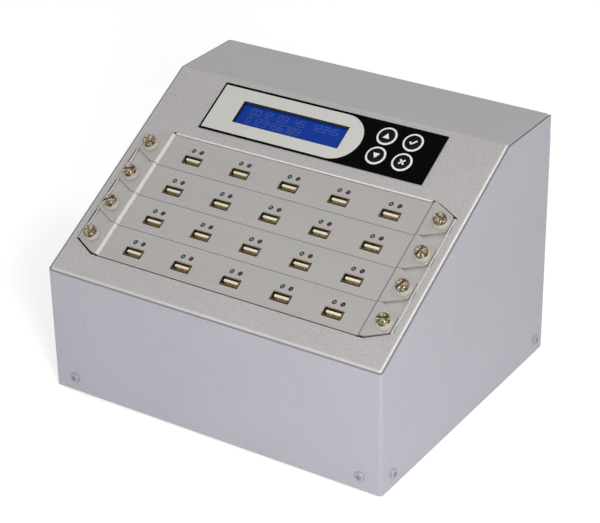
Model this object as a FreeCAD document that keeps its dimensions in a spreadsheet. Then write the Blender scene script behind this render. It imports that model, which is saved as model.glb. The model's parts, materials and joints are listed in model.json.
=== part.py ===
import FreeCAD, Part
import os
import Sketcher

# Desktop duplicator for USB flash drives: a sheet-metal desk case with a sloped top,
# four pull-out port modules of five sockets each, a display with four keys,
# and a fan, power inlet and power switch at the back.
# The row frame has +X to the right, the front towards -Y and +Z up.
# Its origin lies on the floor, under the middle of the object's outer box.
# Pieces on the slope are drawn in slope coordinates: x to the right, s up the slope
# from its front fold, and n outward along the slope's normal.

Vector = FreeCAD.Vector
Rotation = FreeCAD.Rotation

MODULES = 4
PORTS = 5
FAN_BLADES = 7
VENT_RINGS = 5
FLOOR_SLOTS = 9
SINK_FINS = 7
CAPACITORS = 4

SIZES = [
    ("case_width", 255, "outer width of the wrap"),
    ("case_depth", 214.5, "front plane of the wrap to the outside of the rear panel"),
    ("front_height", 88.3, "case bottom to the front fold of the slope"),
    ("back_height", 176, "case bottom to the flat top"),
    ("slope_depth", 156, "depth of the slope, seen from above"),
    ("sheet", 1.0, "thickness of the case's steel sheet"),
    ("seam_gap", 0.15, "gap around fitted pieces"),
    ("wrap_bend", 2.5, "outer radius of the wrap's upright bends"),
    ("cover_bend", 2.0, "outer radius of the cover's bends"),
    ("cover_reveal", 1.1, "how far the cover stands above the wrap's edge"),
    ("cover_flange", 12, "depth of the cover's side and front flanges"),
    ("lip_drop", 29, "height of the cover's rear lip"),
    ("rear_panel_height", 160, "height of the rear panel above the case bottom"),
    ("panel_inset", 0.25, "rear panel inside the case's sides"),
    ("panel_lift", 0.5, "rear panel above the case bottom"),
    ("lip_screw_drop", 7, "upper rear screws below the rear panel's top"),
    ("tray_flange", 16, "height of the tray's upturned flanges"),
    ("slot_bank", 95, "middle of each bank of floor slots from the middle"),
    ("slot_width", 1.8, "air slot in the floor"),
    ("slot_length", 43, "air slot in the floor"),
    ("slot_pitch", 4.3, "one air slot to the next"),
    ("foot_height", 4, "height of a rubber foot"),
    ("foot_radius", 8, "radius of a rubber foot at the case"),
    ("foot_taper", 1.2, "how much smaller a foot's radius is at the floor"),
    ("foot_inset", 22, "foot centre to the case's outside"),
    ("screw_head_radius", 3.5, "case screw head"),
    ("screw_head_height", 1.3, "case screw head"),
    ("screw_radius", 1.45, "case screw shank"),
    ("screw_length", 6, "case screw shank below the head"),
    ("screw_hole", 1.7, "radius of the holes for case screws"),
    ("screw_rim", 0.5, "straight rim of a case screw's head"),
    ("screw_cross", 3.8, "length of the cross recess"),
    ("screw_cross_width", 0.9, "width of the cross recess"),
    ("screw_cross_depth", 0.9, "depth of the cross recess"),
    ("screw_height", 9.5, "case screws above the case bottom"),
    ("front_screw_inset", 16, "front and rear screws from the case's side"),
    ("side_screw_front", 14.3, "front side screw from the wrap's front plane"),
    ("side_screw_back", 9.3, "rear side screw from the rear panel's outside"),
    ("bay_bottom", 19.55, "lower edge of the module opening, up the slope"),
    ("bay_clearance", 0.7, "gap between the modules and the opening"),
    ("bay_side", 6.9, "case side to the pointed ends of the module opening"),
    ("relief_radius", 1.0, "corner relief holes of the opening"),
    ("module_pitch", 26.0, "one module to the next, up the slope"),
    ("module_gap", 0.3, "gap between neighbouring modules"),
    ("plate_thickness", 2.0, "port plate"),
    ("port_level", -1.0, "top of the port zone against the slope"),
    ("step_length", 2.35, "length of the plate's step"),
    ("ear_root", 2.7, "full-height stretch of an ear beside the step"),
    ("ear_taper", 14.4, "narrowing stretch of an ear"),
    ("ear_end_gap", 2.3, "ear tip to the pointed end of the opening"),
    ("ear_slant", 0.48, "narrowing of an ear, rise over run"),
    ("ear_tip_round", 3.0, "corner radius at an ear's tip"),
    ("ear_shoulder_round", 4.0, "corner radius at an ear's shoulder"),
    ("port_margin", 22.45, "last port's centre to the plate's step"),
    ("port_drop", 3.4, "port centre below the module's centre line"),
    ("port_proud", 0.4, "socket mouth above the port plate"),
    ("shell_width", 13.1, "socket shell outside"),
    ("shell_height", 5.8, "socket shell outside"),
    ("shell_wall", 0.3, "socket shell sheet"),
    ("shell_length", 13.6, "socket mouth to the board"),
    ("mouth_flare", 0.5, "how far the mouth's lips stand out"),
    ("mouth_depth", 0.8, "height of the flared lips"),
    ("port_cut_gap", 0.3, "plate cut-out around a socket's lips"),
    ("tongue_width", 11.1, "socket tongue"),
    ("tongue_thickness", 1.84, "socket tongue"),
    ("tongue_rise", 0.9, "tongue centre above the socket's centre"),
    ("tongue_recess", 1.3, "tongue end below the mouth"),
    ("socket_base", 4, "height of the socket's insulator block"),
    ("led_rise", 7.9, "lamps above the port centre"),
    ("led_spacing", 6.3, "green lamp to red lamp"),
    ("led_radius", 1.5, "indicator lamp"),
    ("led_hole", 1.7, "plate hole of a lamp"),
    ("led_body", 3.6, "straight part of a lamp"),
    ("led_leg", 0.3, "half thickness of a lamp's leg"),
    ("led_leg_spacing", 2.54, "one leg of a lamp to the other"),
    ("led_flange", 1.9, "radius of a lamp's flange"),
    ("led_flange_height", 1.0, "lamp flange"),
    ("board_thickness", 1.6, "circuit boards"),
    ("chip_side", 12, "large chips"),
    ("chip_height", 1.4, "large chips"),
    ("chip_x", 46, "large chips on the port and hub boards, from the middle"),
    ("port_board_end", 2.85, "end of a port board to the plate's step"),
    ("port_board_width", 22, "port board across the module"),
    ("post_radius", 2.5, "posts that carry the boards"),
    ("post_edge", 1.0, "edge of a post to the edge of its board"),
    ("key_post_radius", 1.75, "posts that carry the keypad board"),
    ("plug_length", 56, "module plug"),
    ("plug_width", 4.6, "module plug"),
    ("plug_height", 6.5, "module plug below its board"),
    ("socket_gap", 0.4, "play of a module plug in its socket"),
    ("socket_wall", 1.6, "wall of a module socket"),
    ("socket_height", 8.5, "module socket above the hub board"),
    ("hub_drop", 27, "seat of the hub board below the slope"),
    ("hub_edge", 1.4, "edge of the hub board to a rail"),
    ("screw_from_tip", 6.3, "thumbscrews from the ear's tip"),
    ("thumb_head_radius", 4.9, "thumbscrew head"),
    ("thumb_head_height", 3.6, "thumbscrew head"),
    ("thumb_chamfer", 0.6, "bevel of the thumbscrew head"),
    ("thumb_slot_width", 1.5, "driver slot"),
    ("thumb_slot_depth", 1.3, "driver slot"),
    ("thumb_shaft", 1.95, "thumbscrew shaft radius"),
    ("thumb_play", 0.05, "radial play of the thumbscrew shaft"),
    ("thumb_reach", 7, "end of the thumbscrew shaft below the slope"),
    ("collar_base", 5.8, "radius of the collar on the ear"),
    ("collar_top", 5.1, "radius of the collar under the head"),
    ("collar_height", 1.9, "collar above the ear"),
    ("collar_spigot", 3.2, "radius of the collar in the ear"),
    ("head_gap", 0.1, "gap between the collar and the thumbscrew head"),
    ("rail_thickness", 1.5, "rail sheet"),
    ("rail_from_step", 1.6, "inner edge of a rail from the head of the step"),
    ("rail_lip", 1.2, "thickness of the rail's upturned lip"),
    ("rail_lip_gap", 0.8, "rail's lip to the pointed end of the opening"),
    ("rail_lip_level", -0.1, "top of the rail's lip against the slope"),
    ("rail_lip_inset", 1.2, "lip ends from the opening's corners"),
    ("rail_margin", 7, "rail past each end of the opening"),
    ("rail_foot", 13, "foot of a rail under the hub board"),
    ("nut_radius", 4, "threaded boss under a rail"),
    ("nut_height", 2.5, "threaded boss under a rail"),
    ("overlay_width", 172.8, "control label"),
    ("overlay_height", 41.3, "control label"),
    ("overlay_bottom", 133.6, "control label's lower edge, up the slope"),
    ("overlay_thickness", 0.5, "control label"),
    ("overlay_corner", 1.5, "corner radius of the control label"),
    ("window_x", -23.5, "middle of the display window"),
    ("window_s", 154.5, "middle of the display window, up the slope"),
    ("window_width", 83.1, "display window"),
    ("window_height", 18.4, "display window"),
    ("window_margin", 1.0, "cover opening past the window on each side"),
    ("key_x", 55.75, "middle of the key group"),
    ("key_s", 154.65, "middle of the key group, up the slope"),
    ("key_pitch_x", 19.5, "key to key, across"),
    ("key_pitch_s", 16.3, "key to key, up the slope"),
    ("key_radius", 7.1, "key cap"),
    ("key_clearance", 0.3, "gap around a key cap"),
    ("key_level", 1.1, "top of a key cap above the slope"),
    ("key_bevel", 0.35, "bevel around a key cap's top"),
    ("key_flange", 0.5, "how far a key's flange reaches under the cover"),
    ("key_flange_height", 0.8, "key flange"),
    ("key_stem", 2.5, "radius of a key's stem"),
    ("key_stem_length", 1.6, "key stem below its flange"),
    ("key_travel", 0.6, "how far a key goes in"),
    ("key_switch", 6, "side of a contact switch under a key"),
    ("key_switch_height", 3.4, "contact switch above its board"),
    ("key_button", 1.75, "radius of a contact switch's button"),
    ("key_button_rise", 1.0, "button above the contact switch's body"),
    ("key_board_width", 40, "keypad board"),
    ("key_board_height", 38, "keypad board"),
    ("lcd_board_width", 116, "display board"),
    ("lcd_board_height", 37, "display board"),
    ("lcd_frame_width", 97, "metal frame of the display"),
    ("lcd_frame_height", 24, "metal frame of the display"),
    ("lcd_frame_depth", 8.8, "metal frame of the display"),
    ("lcd_frame_wall", 0.6, "metal frame of the display"),
    ("lcd_recess", 1.6, "display glass below the slope"),
    ("fan_size", 80, "fan frame side"),
    ("fan_depth", 25, "fan frame depth"),
    ("fan_inset", 65.5, "fan centre from the case's left side"),
    ("fan_height", 102, "fan centre above the case bottom"),
    ("fan_bore", 38, "radius of the fan's air way"),
    ("fan_hole_pitch", 71.5, "fan screw holes"),
    ("fan_hole", 2.15, "radius of the fan's screw holes"),
    ("fan_hub", 16, "radius of the rotor's hub"),
    ("fan_tip_gap", 1.2, "rotor blades to the fan frame"),
    ("fan_shaft", 1.5, "radius of the rotor's shaft"),
    ("fan_mount", 3, "thickness of the fan's motor mount"),
    ("fan_mount_radius", 15.2, "radius of the fan's motor mount"),
    ("fan_strut", 3.0, "width of the fan's struts"),
    ("rotor_gap", 0.5, "rotor above the motor mount"),
    ("blade_thickness", 1.6, "fan blade"),
    ("blade_chord", 20, "fan blade"),
    ("blade_pitch", 38, "fan blade angle in degrees"),
    ("vent_radius", 2.0, "air holes in front of the fan"),
    ("inlet_inset", 43.5, "power inlet and switch from the case's right side"),
    ("inlet_height", 30, "power inlet centre above the case bottom"),
    ("inlet_flange_width", 48, "power inlet flange"),
    ("inlet_flange_height", 24, "power inlet flange"),
    ("inlet_flange_depth", 2.8, "power inlet flange"),
    ("inlet_width", 27, "power inlet body"),
    ("inlet_body_height", 19.6, "power inlet body"),
    ("inlet_depth", 18, "power inlet body behind the panel"),
    ("inlet_wall", 1.4, "power inlet body"),
    ("inlet_screw_pitch", 40, "power inlet screws"),
    ("inlet_blade_spacing", 7, "outer contact blades from the middle"),
    ("inlet_blade_offset", 2, "contact blades above and below the middle"),
    ("inlet_blade_width", 2, "contact blade"),
    ("inlet_blade_height", 4, "contact blade"),
    ("blade_pin_length", 15, "contact blades of the power inlet"),
    ("terminal_length", 9, "terminals behind the inlet and the switch"),
    ("terminal_width", 4.8, "terminals of the power switch"),
    ("terminal_thickness", 0.8, "terminals of the power switch"),
    ("terminal_offset", 4, "terminals of the power switch from its middle"),
    ("switch_height", 68, "power switch centre above the case bottom"),
    ("switch_bezel_width", 15.4, "power switch bezel"),
    ("switch_bezel_height", 22.4, "power switch bezel"),
    ("switch_bezel", 2.0, "power switch bezel thickness"),
    ("switch_depth", 15, "power switch body behind the panel"),
    ("switch_wall", 1.2, "power switch body wall"),
    ("rocker_width", 10, "power switch rocker"),
    ("rocker_half", 7.6, "power switch rocker, half its height"),
    ("rocker_rise", 4.5, "rocker face above its pivot"),
    ("rocker_tilt", 9, "rocker angle at rest in degrees"),
    ("rocker_back", 3.0, "rocker behind its pivot"),
    ("rocker_shoulder", 7.0, "half height of the rocker at its pin's level"),
    ("rocker_foot", 3.8, "half height of the rocker's back"),
    ("rocker_pin", 1.2, "radius of the rocker's pivot pin"),
    ("rocker_pin_cover", 0.5, "switch wall left outside the pin's bore"),
    ("rocker_gap", 0.35, "rocker to the walls of its housing"),
    ("controller_width", 130, "controller board"),
    ("controller_depth", 84, "controller board"),
    ("controller_shift", 2.25, "controller board in front of the middle of its floor space"),
    ("controller_x", -12, "controller board centre"),
    ("standoff_height", 8, "posts under the inner boards"),
    ("processor_side", 27, "processor on the controller board"),
    ("processor_height", 2.6, "processor on the controller board"),
    ("sink_x", 44, "heat sink from the controller board's middle"),
    ("sink_side", 34, "heat sink"),
    ("sink_base", 3, "heat sink base"),
    ("sink_height", 13, "heat sink with its fins"),
    ("fin_thickness", 1.4, "heat sink fin"),
    ("fin_pitch", 5.4, "one heat sink fin to the next"),
    ("capacitor_radius", 4, "capacitors on the controller board"),
    ("capacitor_height", 12, "capacitors on the controller board"),
    ("capacitor_pitch", 14, "one capacitor to the next"),
    ("capacitor_x", 55, "capacitors from the controller board's middle"),
    ("supply_width", 105, "power supply board"),
    ("supply_depth", 72, "power supply board"),
    ("supply_x", 8, "power supply board centre"),
    ("supply_back", 26, "power supply board from the rear panel"),
    ("transformer_width", 30, "transformer"),
    ("transformer_depth", 34, "transformer"),
    ("transformer_height", 26, "transformer"),
    ("supply_sink_x", 22, "cooling plates from the transformer's middle"),
    ("supply_sink_thickness", 2.5, "cooling plates"),
    ("supply_sink_length", 52, "cooling plates"),
    ("supply_sink_height", 24, "cooling plates"),
    ("filter_width", 16, "mains filter"),
    ("filter_depth", 18, "mains filter"),
    ("filter_height", 18, "mains filter"),
    ("supply_side_x", 38, "mains filter and large capacitor from the middle"),
    ("supply_side_y", 15, "pieces of the supply in front of and behind its middle"),
    ("bulk_radius", 9, "large capacitor"),
    ("bulk_height", 28, "large capacitor"),
    ("output_radius", 5, "output capacitors"),
    ("output_height", 20, "output capacitors"),
    ("output_pitch", 12, "one output capacitor to the other"),
    ("terminal_block_x", 42, "terminal block from the middle"),
    ("terminal_block_width", 10, "terminal block"),
    ("terminal_block_length", 32, "terminal block"),
    ("terminal_block_height", 11, "terminal block"),
    ("ribbon_width", 20, "ribbon cables"),
    ("ribbon_thickness", 1.2, "ribbon cables"),
    ("ribbon_margin", 2, "header past a ribbon cable on each side"),
    ("ribbon_lead", 6, "straight ribbon cable behind a header"),
    ("header_height", 6, "ribbon cable headers"),
    ("header_depth", 6, "ribbon cable headers"),
    ("display_cable_drop", 52, "end of the display cable's upright stretch above its header"),
    ("display_cable_bend", 25, "bend of the display cable above its header"),
    ("display_cable_foot", 12, "upright foot of the display cable on its header"),
    ("hub_cable_foot", 21, "upright foot of the hub cable on its header"),
]

document = FreeCAD.newDocument("FlashDriveDuplicator")
sheet = document.addObject("Spreadsheet::Sheet", "Sizes")
for row, (alias, number, meaning) in enumerate(SIZES, 1):
    sheet.set(f"A{row}", alias)
    sheet.set(f"B{row}", str(number))
    sheet.set(f"C{row}", meaning)
    sheet.setAlias(f"B{row}", alias)
document.recompute()


class SheetNames:
    """Turns S.case_width into the expression that reads that cell."""

    def __getattr__(self, alias):
        return "Sizes." + alias


S = SheetNames()
sub_parts = []


def value(expression):
    """The number that an expression has now."""
    result = sheet.evalExpression(str(expression))
    return float(getattr(result, "Value", result))


def bind(item, formulas):
    """Ties properties of an object to expressions."""
    for path, formula in formulas.items():
        item.setExpression(path, str(formula))


def keep(item, label):
    """Names an object as a sub-part that is written to its own file."""
    item.Label = label
    sub_parts.append(item)
    return item


# Places that several pieces share.

half_width = f"({S.case_width} / 2)"
slope_run = S.slope_depth
slope_rise = f"({S.back_height} - {S.front_height})"
slope_angle = f"atan2({slope_rise}; {slope_run})"
slope_sin = f"sin({slope_angle})"
slope_cos = f"cos({slope_angle})"
slope_length = f"sqrt({slope_run}^2 + {slope_rise}^2)"
rear_reach = f"({S.switch_bezel} + 2 * {S.rocker_half} * sin({S.rocker_tilt} * 1 deg))"
front_y = f"(-({S.case_depth} + {rear_reach} - {S.screw_head_height}) / 2)"
rear_y = f"({front_y} + {S.case_depth})"
panel_inner_y = f"({rear_y} - {S.sheet})"
bottom_z = S.foot_height
fold_z = f"({bottom_z} + {S.front_height})"
top_z = f"({bottom_z} + {S.back_height})"
floor_top_z = f"({bottom_z} + {S.sheet})"
wrap_inner_x = f"({half_width} - {S.sheet})"
cover_half = wrap_inner_x
cover_front_y = f"({front_y} + {S.sheet})"
cover_back_y = panel_inner_y

punch = f"(8 * {S.sheet})"
plate_punch = f"(12 * {S.plate_thickness})"
bay_tip = f"({half_width} - {S.bay_side})"
ear_tip = f"({bay_tip} - {S.ear_end_gap})"
ear_shoulder = f"({ear_tip} - {S.ear_taper})"
step_outer = f"({ear_shoulder} - {S.ear_root})"
step_inner = f"({step_outer} - {S.step_length})"
port_pitch = f"(2 * ({step_inner} - {S.port_margin}) / {PORTS - 1})"
port_board_half = f"({step_inner} - {S.port_board_end})"
screw_offset = f"({ear_tip} - {S.screw_from_tip})"
rail_inner = f"({step_outer} + {S.rail_from_step})"
rail_lip_outer = f"({bay_tip} - {S.rail_lip_gap})"
hub_half = f"({rail_inner} - {S.hub_edge})"
fan_x = f"({S.fan_inset} - {half_width})"
inlet_x = f"({half_width} - {S.inlet_inset})"
module_height = f"({S.module_pitch} - {S.module_gap})"
bay_top = f"({S.bay_bottom} + 2 * {S.bay_clearance} + {MODULES} * {S.module_pitch} - {S.module_gap})"
slant_stretch = f"sqrt(1 + {S.ear_slant}^2)"
bay_shoulder = f"({ear_shoulder} + {S.bay_clearance} * ({slant_stretch} - 1) / {S.ear_slant})"
bay_tip_rise = f"({S.ear_slant} * ({bay_tip} - {bay_shoulder}))"
mouth_level = f"({S.port_level} + {S.port_proud})"
port_board_top = f"({mouth_level} - {S.shell_length})"
plate_bottom = f"({S.port_level} - {S.plate_thickness})"
ear_bottom = f"(-{S.sheet})"
ear_level = f"({S.plate_thickness} - {S.sheet})"
hub_top = f"({S.board_thickness} - {S.hub_drop})"
cover_under = f"(-{S.sheet})"
lcd_board_top = f"({cover_under} - {S.seam_gap} - {S.lcd_frame_depth})"
key_flange_top = f"({cover_under} - {S.seam_gap})"
key_flange_low = f"({key_flange_top} - {S.key_flange_height})"
key_stem_end = f"({key_flange_low} - {S.key_stem_length})"
key_switch_top = f"({key_stem_end} - {S.key_travel} - {S.head_gap})"
key_board_top = f"({key_switch_top} - {S.key_switch_height})"
board_level = f"({floor_top_z} + {S.standoff_height})"


def module_centre(index):
    """Centre line of a module up the slope, counted from 0 at the front."""
    return (f"({S.bay_bottom} + {S.bay_clearance} + {module_height} / 2"
            f" + {index} * {S.module_pitch})")


def slope_y(s, n):
    return f"({front_y} + ({s}) * {slope_cos} - ({n}) * {slope_sin})"


def slope_z(s, n):
    return f"({fold_z} + ({s}) * {slope_sin} + ({n}) * {slope_cos})"


def slant_z(y, n):
    """Height where the line at level n over the slope crosses a given y."""
    return f"({fold_z} + (({y} - {front_y}) * {slope_sin} + ({n})) / {slope_cos})"


def slant_y(z, n):
    """Depth where the line at level n over the slope crosses a given height."""
    return f"({front_y} + (({z} - {fold_z}) * {slope_cos} - ({n})) / {slope_sin})"


# Makers of solids.


def on_slope(item, x="0", s="0", n="0"):
    """Seats an object that is drawn in slope coordinates."""
    item.Placement = FreeCAD.Placement(Vector(), Rotation(Vector(1, 0, 0), 30))
    bind(item, {
        "Placement.Base.x": x,
        "Placement.Base.y": slope_y(s, n),
        "Placement.Base.z": slope_z(s, n),
        "Placement.Rotation.Angle": slope_angle,
    })
    return item


def shift(item, x="0", y="0", z="0"):
    bind(item, {"Placement.Base.x": x, "Placement.Base.y": y, "Placement.Base.z": z})
    return item


TURNS = {
    "+z": Rotation(),
    "+x": Rotation(Vector(0, 1, 0), 90),
    "-x": Rotation(Vector(0, 1, 0), -90),
    "+y": Rotation(Vector(1, 0, 0), -90),
    "-y": Rotation(Vector(1, 0, 0), 90),
}


def turn(item, direction):
    """Turns an object so that its own +Z points in a direction."""
    item.Placement = FreeCAD.Placement(item.Placement.Base, TURNS[direction])
    return item


def block(name, low, lengths):
    """A box from its low corner and its three lengths."""
    item = document.addObject("Part::Box", name)
    bind(item, {"Length": lengths[0], "Width": lengths[1], "Height": lengths[2]})
    return shift(item, *low)


def centred(name, middle, low, lengths):
    """A box centred on x and y, from a low z."""
    corner = (f"({middle[0]}) - ({lengths[0]}) / 2", f"({middle[1]}) - ({lengths[1]}) / 2", low)
    return block(name, corner, lengths)


def rod(name, base, radius, length, direction="+z"):
    item = document.addObject("Part::Cylinder", name)
    bind(item, {"Radius": radius, "Height": length})
    turn(item, direction)
    return shift(item, *base)


def taper(name, base, radius_low, radius_high, length, direction="+z"):
    item = document.addObject("Part::Cone", name)
    bind(item, {"Radius1": radius_low, "Radius2": radius_high, "Height": length})
    turn(item, direction)
    return shift(item, *base)


def ball(name, centre, radius):
    item = document.addObject("Part::Sphere", name)
    bind(item, {"Radius": radius})
    return shift(item, *centre)


def group(name, items):
    """Several solids side by side in one object."""
    item = document.addObject("Part::Compound", name)
    item.Links = items
    return item


def join(name, items):
    item = document.addObject("Part::MultiFuse", name)
    item.Shapes = items
    return item


def cut(name, base, tools):
    """Takes the tools away from the base, all at once."""
    item = document.addObject("Part::Cut", name)
    item.Base = base
    item.Tool = tools[0] if len(tools) == 1 else group(name + "_tools", tools)
    return item


def overlap(name, first, second):
    item = document.addObject("Part::Common", name)
    item.Base = first
    item.Tool = second
    return item


def outline(sketch, points):
    """A closed outline whose corners are tied to expressions."""
    corners = [Vector(value(x), value(y), 0) for x, y in points]
    count = len(corners)
    for index in range(count):
        edge = Part.LineSegment(corners[index], corners[(index + 1) % count])
        sketch.addGeometry(edge)
    for index in range(count):
        following = (index + 1) % count
        sketch.addConstraint(Sketcher.Constraint("Coincident", index, 2, following, 1))
    for index, (x, y) in enumerate(points):
        for kind, formula in (("DistanceX", x), ("DistanceY", y)):
            limit = Sketcher.Constraint(kind, -1, 1, index, 1, value(formula))
            number = sketch.addConstraint(limit)
            sketch.setExpression(f"Constraints[{number}]", formula)


def padded(name, plane, points, length, rounds=()):
    """A body: an outline padded both ways from a plane, with some edges rounded."""
    body = document.addObject("PartDesign::Body", name)
    sketch = body.newObject("Sketcher::SketchObject", name + "_outline")
    planes = [item for item in body.Origin.OriginFeatures if item.Role == plane]
    sketch.AttachmentSupport = [(planes[0], "")]
    sketch.MapMode = "FlatFace"
    outline(sketch, points)
    pad = body.newObject("PartDesign::Pad", name + "_pad")
    pad.Profile = sketch
    pad.SideType = "Symmetric"
    pad.setExpression("Length", length)
    for number, (radius, chosen) in enumerate(rounds):
        document.recompute()
        base = body.Tip
        names = [f"Edge{i + 1}" for i, edge in enumerate(base.Shape.Edges) if chosen(edge)]
        fillet = body.newObject("PartDesign::Fillet", f"{name}_round_{number}")
        fillet.Base = (base, names)
        fillet.setExpression("Radius", radius)
        body.Tip = fillet
    return body


def middle_of(edge):
    return edge.valueAt((edge.FirstParameter + edge.LastParameter) / 2)


def is_along(edge, axis):
    """True for a straight edge that runs along an axis."""
    if not isinstance(edge.Curve, (Part.Line, Part.LineSegment)):
        return False
    direction = edge.tangentAt(edge.FirstParameter)
    return abs(direction.dot(axis)) > 0.999


def upright_at(x_expression):
    """Chooses upright edges at a distance from the middle plane."""
    def chosen(edge):
        if not is_along(edge, Vector(0, 0, 1)):
            return False
        return abs(abs(middle_of(edge).x) - value(x_expression)) < 0.01
    return chosen


def on_profile(points):
    """Chooses edges on an open profile in the YZ plane, apart from its two ends."""
    corners = [Vector(0, value(y), value(z)) for y, z in points]

    def chosen(edge):
        middle = middle_of(edge)
        middle.x = 0
        if middle.distanceToPoint(corners[0]) < 0.01:
            return False
        if middle.distanceToPoint(corners[-1]) < 0.01:
            return False
        for first, second in zip(corners, corners[1:]):
            along = second - first
            reach = (middle - first).dot(along) / along.Length
            if -0.01 <= reach <= along.Length + 0.01:
                foot = first + along * (reach / along.Length)
                if foot.distanceToPoint(middle) < 0.01:
                    return True
        return False
    return chosen


def screw(name, x, y, z, inward):
    """A low pan-head screw with a cross recess; y, x, z is the seat of its head."""
    crown = f"({S.screw_head_height} - {S.screw_rim})"
    parts = [
        rod(name + "_shank", ("0", "0", "0"), S.screw_radius, S.screw_length),
        rod(name + "_rim", ("0", "0", f"-{S.screw_rim}"), S.screw_head_radius, S.screw_rim),
        taper(name + "_crown", ("0", "0", f"-{S.screw_head_height}"),
              f"{S.screw_head_radius} - {crown}", S.screw_head_radius, crown),
    ]
    tools = [
        centred(name + "_slot_a", ("0", "0"), f"-{S.screw_head_height}",
                (S.screw_cross, S.screw_cross_width, S.screw_cross_depth)),
        centred(name + "_slot_b", ("0", "0"), f"-{S.screw_head_height}",
                (S.screw_cross_width, S.screw_cross, S.screw_cross_depth)),
    ]
    item = cut(name, join(name + "_solid", parts), tools)
    turn(item, inward)
    return shift(item, x, y, z)


# Wrap: the front and both sides, bent from one sheet.

front_edge_z = slant_z(front_y, f"-{S.cover_reveal}")
wrap_top_z = f"({top_z} - {S.cover_reveal})"
wrap_profile = [
    (front_y, bottom_z),
    (front_y, front_edge_z),
    (slant_y(wrap_top_z, f"-{S.cover_reveal}"), wrap_top_z),
    (cover_back_y, wrap_top_z),
    (cover_back_y, bottom_z),
]


def front_bend(y_expression):
    """Chooses the two upright edges of the wrap's front corners."""
    def chosen(edge):
        if not is_along(edge, Vector(0, 0, 1)):
            return False
        return abs(middle_of(edge).y - value(y_expression)) < 0.01
    return chosen


wrap_outer = padded("wrap_outer", "YZ_Plane", wrap_profile, S.case_width,
                    [(S.wrap_bend, front_bend(front_y))])
inner_front_y = f"({front_y} + {S.sheet})"
hollow_low = f"({bottom_z} - {S.foot_height})"
hollow_high = f"({top_z} + {S.cover_flange})"
hollow_back = f"({rear_y} + {S.cover_flange})"
wrap_hollow = padded("wrap_hollow", "YZ_Plane", [
    (inner_front_y, hollow_low),
    (inner_front_y, hollow_high),
    (hollow_back, hollow_high),
    (hollow_back, hollow_low),
], f"{S.case_width} - 2 * {S.sheet}",
    [(f"{S.wrap_bend} - {S.sheet}", front_bend(inner_front_y))])

screw_z = f"({bottom_z} + {S.screw_height})"
front_screw_x = f"({half_width} - {S.front_screw_inset})"
side_screw_ys = [f"({front_y} + {S.side_screw_front})", f"({rear_y} - {S.side_screw_back})"]
wrap_holes = []
for side in (-1, 1):
    wrap_holes.append(rod(f"wrap_front_hole_{side + 2}",
                          (f"{side} * {front_screw_x}", f"{front_y} - {S.sheet}", screw_z),
                          S.screw_hole, punch, "+y"))
for number, y in enumerate(side_screw_ys):
    wrap_holes.append(rod(f"wrap_side_hole_{number}", (f"-{half_width} - {S.sheet}", y, screw_z),
                          S.screw_hole, f"{S.case_width} + 2 * {S.sheet}", "+x"))
keep(cut("case_wrap", wrap_outer, [wrap_hollow] + wrap_holes), "case_wrap")

# Top cover: slope, flat top and flanges, with the module opening, the display
# window, the key holes and the weld studs that carry the display and keypad.

cover_front_z = slant_z(cover_front_y, "0")
flange_z = f"({top_z} - {S.cover_flange})"
lip_z = f"({top_z} - {S.lip_drop})"
lip_inner_y = f"({cover_back_y} - {S.cover_flange} / 2)"
fold_back_y = slant_y(top_z, "0")
cover_profile = [
    (cover_front_y, slant_z(cover_front_y, f"-{S.cover_flange}")),
    (cover_front_y, cover_front_z),
    (fold_back_y, top_z),
    (cover_back_y, top_z),
    (cover_back_y, lip_z),
]
cover_underside = [
    (lip_inner_y, lip_z),
    (lip_inner_y, flange_z),
    (slant_y(flange_z, f"-{S.cover_flange}"), flange_z),
]
cover_outer = padded("cover_outer", "YZ_Plane", cover_profile + cover_underside,
                     f"2 * {cover_half}", [(S.cover_bend, on_profile(cover_profile))])
inside_front_y = f"({cover_front_y} + {S.sheet})"
inside_back_y = f"({cover_back_y} - {S.sheet})"
inside_top_z = f"({top_z} - {S.sheet})"
inside_profile = [
    (inside_front_y, bottom_z),
    (inside_front_y, slant_z(inside_front_y, f"-{S.sheet}")),
    (slant_y(inside_top_z, f"-{S.sheet}"), inside_top_z),
    (inside_back_y, inside_top_z),
    (inside_back_y, bottom_z),
]
cover_hollow = padded("cover_hollow", "YZ_Plane", inside_profile,
                      f"2 * ({cover_half} - {S.sheet})",
                      [(f"{S.cover_bend} - {S.sheet}", on_profile(inside_profile))])


def window_block(name, margin):
    """The display window, grown by a margin on each side."""
    return centred(name, (S.window_x, S.window_s), f"-{punch} / 2",
                   (f"{S.window_width} + 2 * ({margin})",
                    f"{S.window_height} + 2 * ({margin})", punch))


KEYS = {
    "key_up": (-1, 1),
    "key_down": (-1, -1),
    "key_enter": (1, 1),
    "key_cancel": (1, -1),
}


def key_place(name):
    across, up = KEYS[name]
    return (f"({S.key_x} + {across} * {S.key_pitch_x} / 2)",
            f"({S.key_s} + {up} * {S.key_pitch_s} / 2)")


def key_holes(prefix):
    holes = []
    for name in KEYS:
        x, s = key_place(name)
        holes.append(rod(f"{prefix}_{name}", (x, s, f"-{punch} / 2"),
                         f"{S.key_radius} + {S.key_clearance}", punch))
    return holes


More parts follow.
